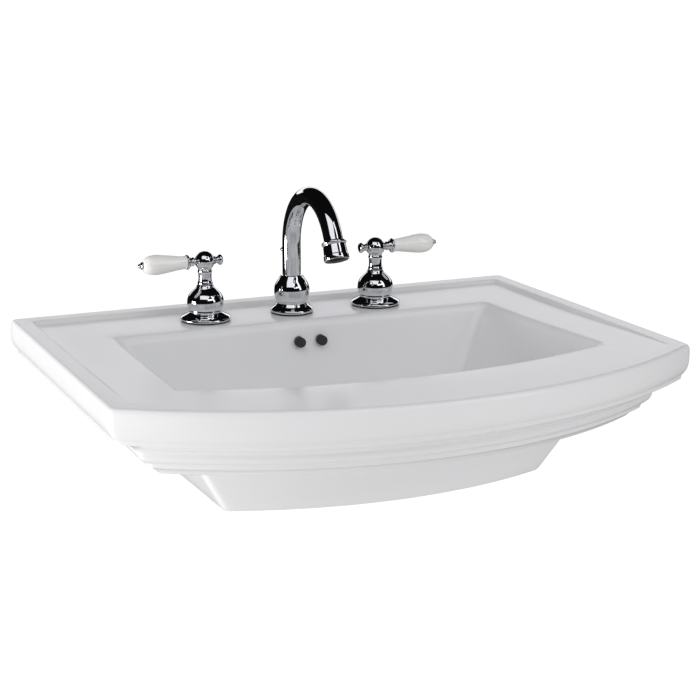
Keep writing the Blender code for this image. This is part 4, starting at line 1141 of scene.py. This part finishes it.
def drain():
    axis = (0, DRAIN_Y, RIM_Z)
    seat = -DRAIN_DEPTH - FLANGE_EDGE
    throat = BODY_R - 3.0 - GAP
    flange = [
        (STOPPER_R + 1.4, 0.55 - DRAIN_DEPTH, 0.3), (FLANGE_R - 4.0, 0.7 - DRAIN_DEPTH),
        (FLANGE_R - 1.4, 0.3 - DRAIN_DEPTH), (FLANGE_R, -0.8 - DRAIN_DEPTH, 0.3),
        (FLANGE_R, seat, 0.1), (throat, seat, 0.0), (throat, seat - 4.3, 0.2),
        (throat - 2.0, seat - 4.3, 0.2), (throat - 2.0, seat - 1.8, 0.4),
        (STOPPER_R + 1.4, 0.55 - DRAIN_DEPTH),
    ]
    spun("drain_flange", flange, axis, sides=80)
    bottom = -PIVOT_DEPTH - 14.0
    thread_top, thread_low = -134.0, -154.0
    body = [
        (DRAIN_BORE_R, seat - GAP, 0.0), (BODY_R, seat - GAP, 0.0), (BODY_R, thread_top, 0.0),
        *thread(BODY_R, thread_top, thread_low, 0.6, 1.6), (BODY_R, thread_low - 1.0, 0.0),
        (BODY_R, bottom, 0.6), (TAIL_R + GAP, bottom, 0.2),
        (TAIL_R + GAP, -PIVOT_DEPTH - TAIL_LAP + GAP, 0.0),
        (DRAIN_BORE_R, -PIVOT_DEPTH - 3.0, 0.0), (DRAIN_BORE_R, seat - GAP),
    ]
    housing = turned(body, axis, sides=56)
    port_end = DRAIN_Y + PIVOT_ARM + PIVOT_BALL_R + 1.6
    port = rod_between((0, DRAIN_Y + BODY_R - 2.6, PIVOT_Z), (0, port_end, PIVOT_Z), 11.0, 40)
    combine(housing, [port], "UNION")
    way = rod_between((0, DRAIN_Y + 10, PIVOT_Z), (0, port_end + 2, PIVOT_Z), PIVOT_BALL_R + RUN)
    slots_z = RIM_Z - DRAIN_DEPTH - 10.5
    slots = box_between((-9, DRAIN_Y - 40, slots_z - 2.5), (9, DRAIN_Y + 40, slots_z + 2.5))
    combine(housing, [way, slots])
    stands_for(settle(housing), "drain_body")
    under = -BASIN_HEIGHT
    clear = BODY_R + GAP
    gasket = [
        (clear, under - GAP, 0.2), (29.0, under - GAP, 0.8), (30.0, under - 4.0, 0.4),
        (clear, under - 4.0, 0.2), (clear, under - GAP),
    ]
    spun("drain_gasket", gasket, axis, sides=64)
    washer = ring(30.0, clear, under - 4.3, under - 5.8, 0.2)
    spun("drain_washer", washer, axis, sides=64)
    hexagon_nut("drain_lock_nut", (0, DRAIN_Y, RIM_Z + under - 9.6), 7.0, 29.0, clear)
    tail_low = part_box("tailpiece")[0].z / MM - RIM_Z
    tail = ring(TAIL_R, TAIL_R - 2.0, -PIVOT_DEPTH - TAIL_LAP, tail_low)
    spun("tailpiece", tail, axis, sides=56)

    cap_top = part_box("stopper")[1].z / MM - RIM_Z
    low = cap_top - 5.6
    cap = [
        (0, cap_top), (5.0, cap_top - 0.2), (10.0, cap_top - 1.0), (14.4, cap_top - 2.3),
        (17.6, cap_top - 3.9), (STOPPER_R, low + 0.8, 0.4), (STOPPER_R - 0.3, low, 0.3),
        (7.0, low, 0.2), (7.0, low - 1.8, 0.3), (4.0, low - 1.8, 0.3), (4.0, low - 30.0, 0.0),
        (0, low - 30.0),
    ]
    plug = turned(cap, axis, sides=64)
    rod_end = PIVOT_Z - PIVOT_ARM * tan(PIVOT_TILT)
    eye = box_between((-6, DRAIN_Y - 2.5, rod_end - 6.5), (6, DRAIN_Y + 2.5, rod_end + 9.0))
    soften(eye, 0.8)
    stalk = rod_between((0, DRAIN_Y, rod_end + 6.0), (0, DRAIN_Y, RIM_Z + low - 20.0), 3.8)
    combine(plug, [stalk, eye], "UNION")
    hole = rod_between((0, DRAIN_Y - 5, rod_end), (0, DRAIN_Y + 5, rod_end), PIVOT_ROD_R + 0.9)
    combine(plug, [hole])
    stands_for(settle(plug), "stopper")
    seal = [
        (7.3, low - GAP, 0.1), (17.0, low - GAP, 0.3), (16.4, low - 1.8, 0.3),
        (7.3, low - 1.8, 0.1), (7.3, low - GAP),
    ]
    spun("stopper_seal", seal, axis, sides=56)


# Room, light and camera, in metres

FLOOR_Z = -0.80
# How bright the room is to the eye, to the gloss of a surface, and to its matt colour
FLOOR_GLOW = (1.05, 0.006, 0.86)
BACKDROP = (1.0, 0.004, 0.37)


def lit_by_ray(tree, kind, brightness, socket):
    """A glow that the eye, a gloss and a matt colour each meet at their own brightness."""
    seen = tree.nodes.new("ShaderNodeLightPath")
    glows = []
    for strength in brightness:
        glow = tree.nodes.new(kind)
        glow.inputs["Color"].default_value = (1.0, 1.0, 1.0, 1.0)
        glow.inputs["Strength"].default_value = strength
        glows.append(glow.outputs[0])
    eye, gloss, matt = glows
    for ray, chosen in (("Is Glossy Ray", gloss), ("Is Camera Ray", eye)):
        choice = tree.nodes.new("ShaderNodeMixShader")
        tree.links.new(seen.outputs[ray], choice.inputs["Fac"])
        tree.links.new(matt, choice.inputs[1])
        tree.links.new(chosen, choice.inputs[2])
        matt = choice.outputs["Shader"]
    tree.links.new(matt, socket)


def room():
    clear_selection()
    bpy.ops.mesh.primitive_plane_add(size=160.0, location=(0, 0, FLOOR_Z))
    floor = bpy.context.object
    floor.name = "floor"
    pale = bpy.data.materials.new("pale_floor")
    pale.use_nodes = True
    tree = pale.node_tree
    # Clear when seen from below, so that the underside of the basin shows through it
    side = tree.nodes.new("ShaderNodeNewGeometry")
    clear = tree.nodes.new("ShaderNodeBsdfTransparent")
    one_sided = tree.nodes.new("ShaderNodeMixShader")
    tree.links.new(side.outputs["Backfacing"], one_sided.inputs["Fac"])
    lit_by_ray(tree, "ShaderNodeEmission", FLOOR_GLOW, one_sided.inputs[1])
    tree.links.new(clear.outputs[0], one_sided.inputs[2])
    out = tree.nodes["Material Output"]
    tree.links.new(one_sided.outputs["Shader"], out.inputs["Surface"])
    floor.data.materials.append(pale)
    floor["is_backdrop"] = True


WHITE = (1.0, 1.0, 1.0)
WARM = (1.0, 0.99, 0.985)
# Name, place, aim, width and height, power, colour
SOFTBOXES = [
    ("low_key_from_left", (-2.6, 0.25, -0.15), (0, -0.25, 0.0), (1.2, 0.9), 52.0, WARM),
    ("low_front_left", (-2.0, -1.6, -0.5), (0, -0.3, 0.0), (1.3, 0.8), 1.6, WARM),
    ("high_front", (0.5, -2.3, 1.25), (0, -0.3, 0.1), (1.5, 0.45), 4.0, WHITE),
    ("rim_from_behind", (1.6, 2.9, 0.85), (0, -0.25, 0.1), (6.4, 0.8), 20.5, (0.945, 0.94, 1.0)),
    ("overhead_window", (-0.65, -1.2, 1.7), (0, -0.1, 0.15), (1.9, 1.35), 8.6, (0.985, 0.985, 1.0)),
    ("strip_right", (1.3, -1.8, 1.35), (0, -0.1, 0.15), (0.5, 2.4), 5.8, (0.97, 0.985, 1.0)),
]


def softbox(name, place, aim, size, power, colour):
    made = bpy.data.lights.new(name, "AREA")
    made.shape = "RECTANGLE"
    made.size, made.size_y = size
    made.energy = power
    made.color = colour
    lamp = bpy.data.objects.new(name, made)
    bpy.context.scene.collection.objects.link(lamp)
    lamp.location = place
    lamp.rotation_euler = (Vector(aim) - Vector(place)).to_track_quat("-Z", "Y").to_euler()


def light():
    for lamp in SOFTBOXES:
        softbox(*lamp)
    world = bpy.data.worlds.new("studio")
    world.use_nodes = True
    bpy.context.scene.world = world
    world.node_tree.nodes.clear()
    out = world.node_tree.nodes.new("ShaderNodeOutputWorld")
    lit_by_ray(world.node_tree, "ShaderNodeBackground", BACKDROP, out.inputs["Surface"])


CAMERA_AT = (-0.816, -2.091, 0.574)
CAMERA_TURN = (radians(90 - 13.60), radians(0.07), radians(-23.72))
CAMERA_LENS = 103.06


def camera():
    made = bpy.data.cameras.new("camera")
    made.lens = CAMERA_LENS
    made.sensor_width = 36.0
    made.clip_end = 200.0
    stand = bpy.data.objects.new("camera", made)
    bpy.context.scene.collection.objects.link(stand)
    stand.location = CAMERA_AT
    stand.rotation_euler = CAMERA_TURN
    bpy.context.scene.camera = stand


camera()
room()
light()
bpy.context.scene.view_settings.view_transform = "Standard"

basin()
handle("hot", -1)
handle("cold", 1)
spout()
lift_linkage()
pivot()
drain()
for node, shown in frame["nodes"].items():
    shown.data.materials.clear()
    shown.data.materials.append(FINISHES[SLOT_OF[node]])

boxes = {"cad": CAD_BOX, "visual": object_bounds()}
plain = {name: [list(map(float, corner)) for corner in box] for name, box in boxes.items()}
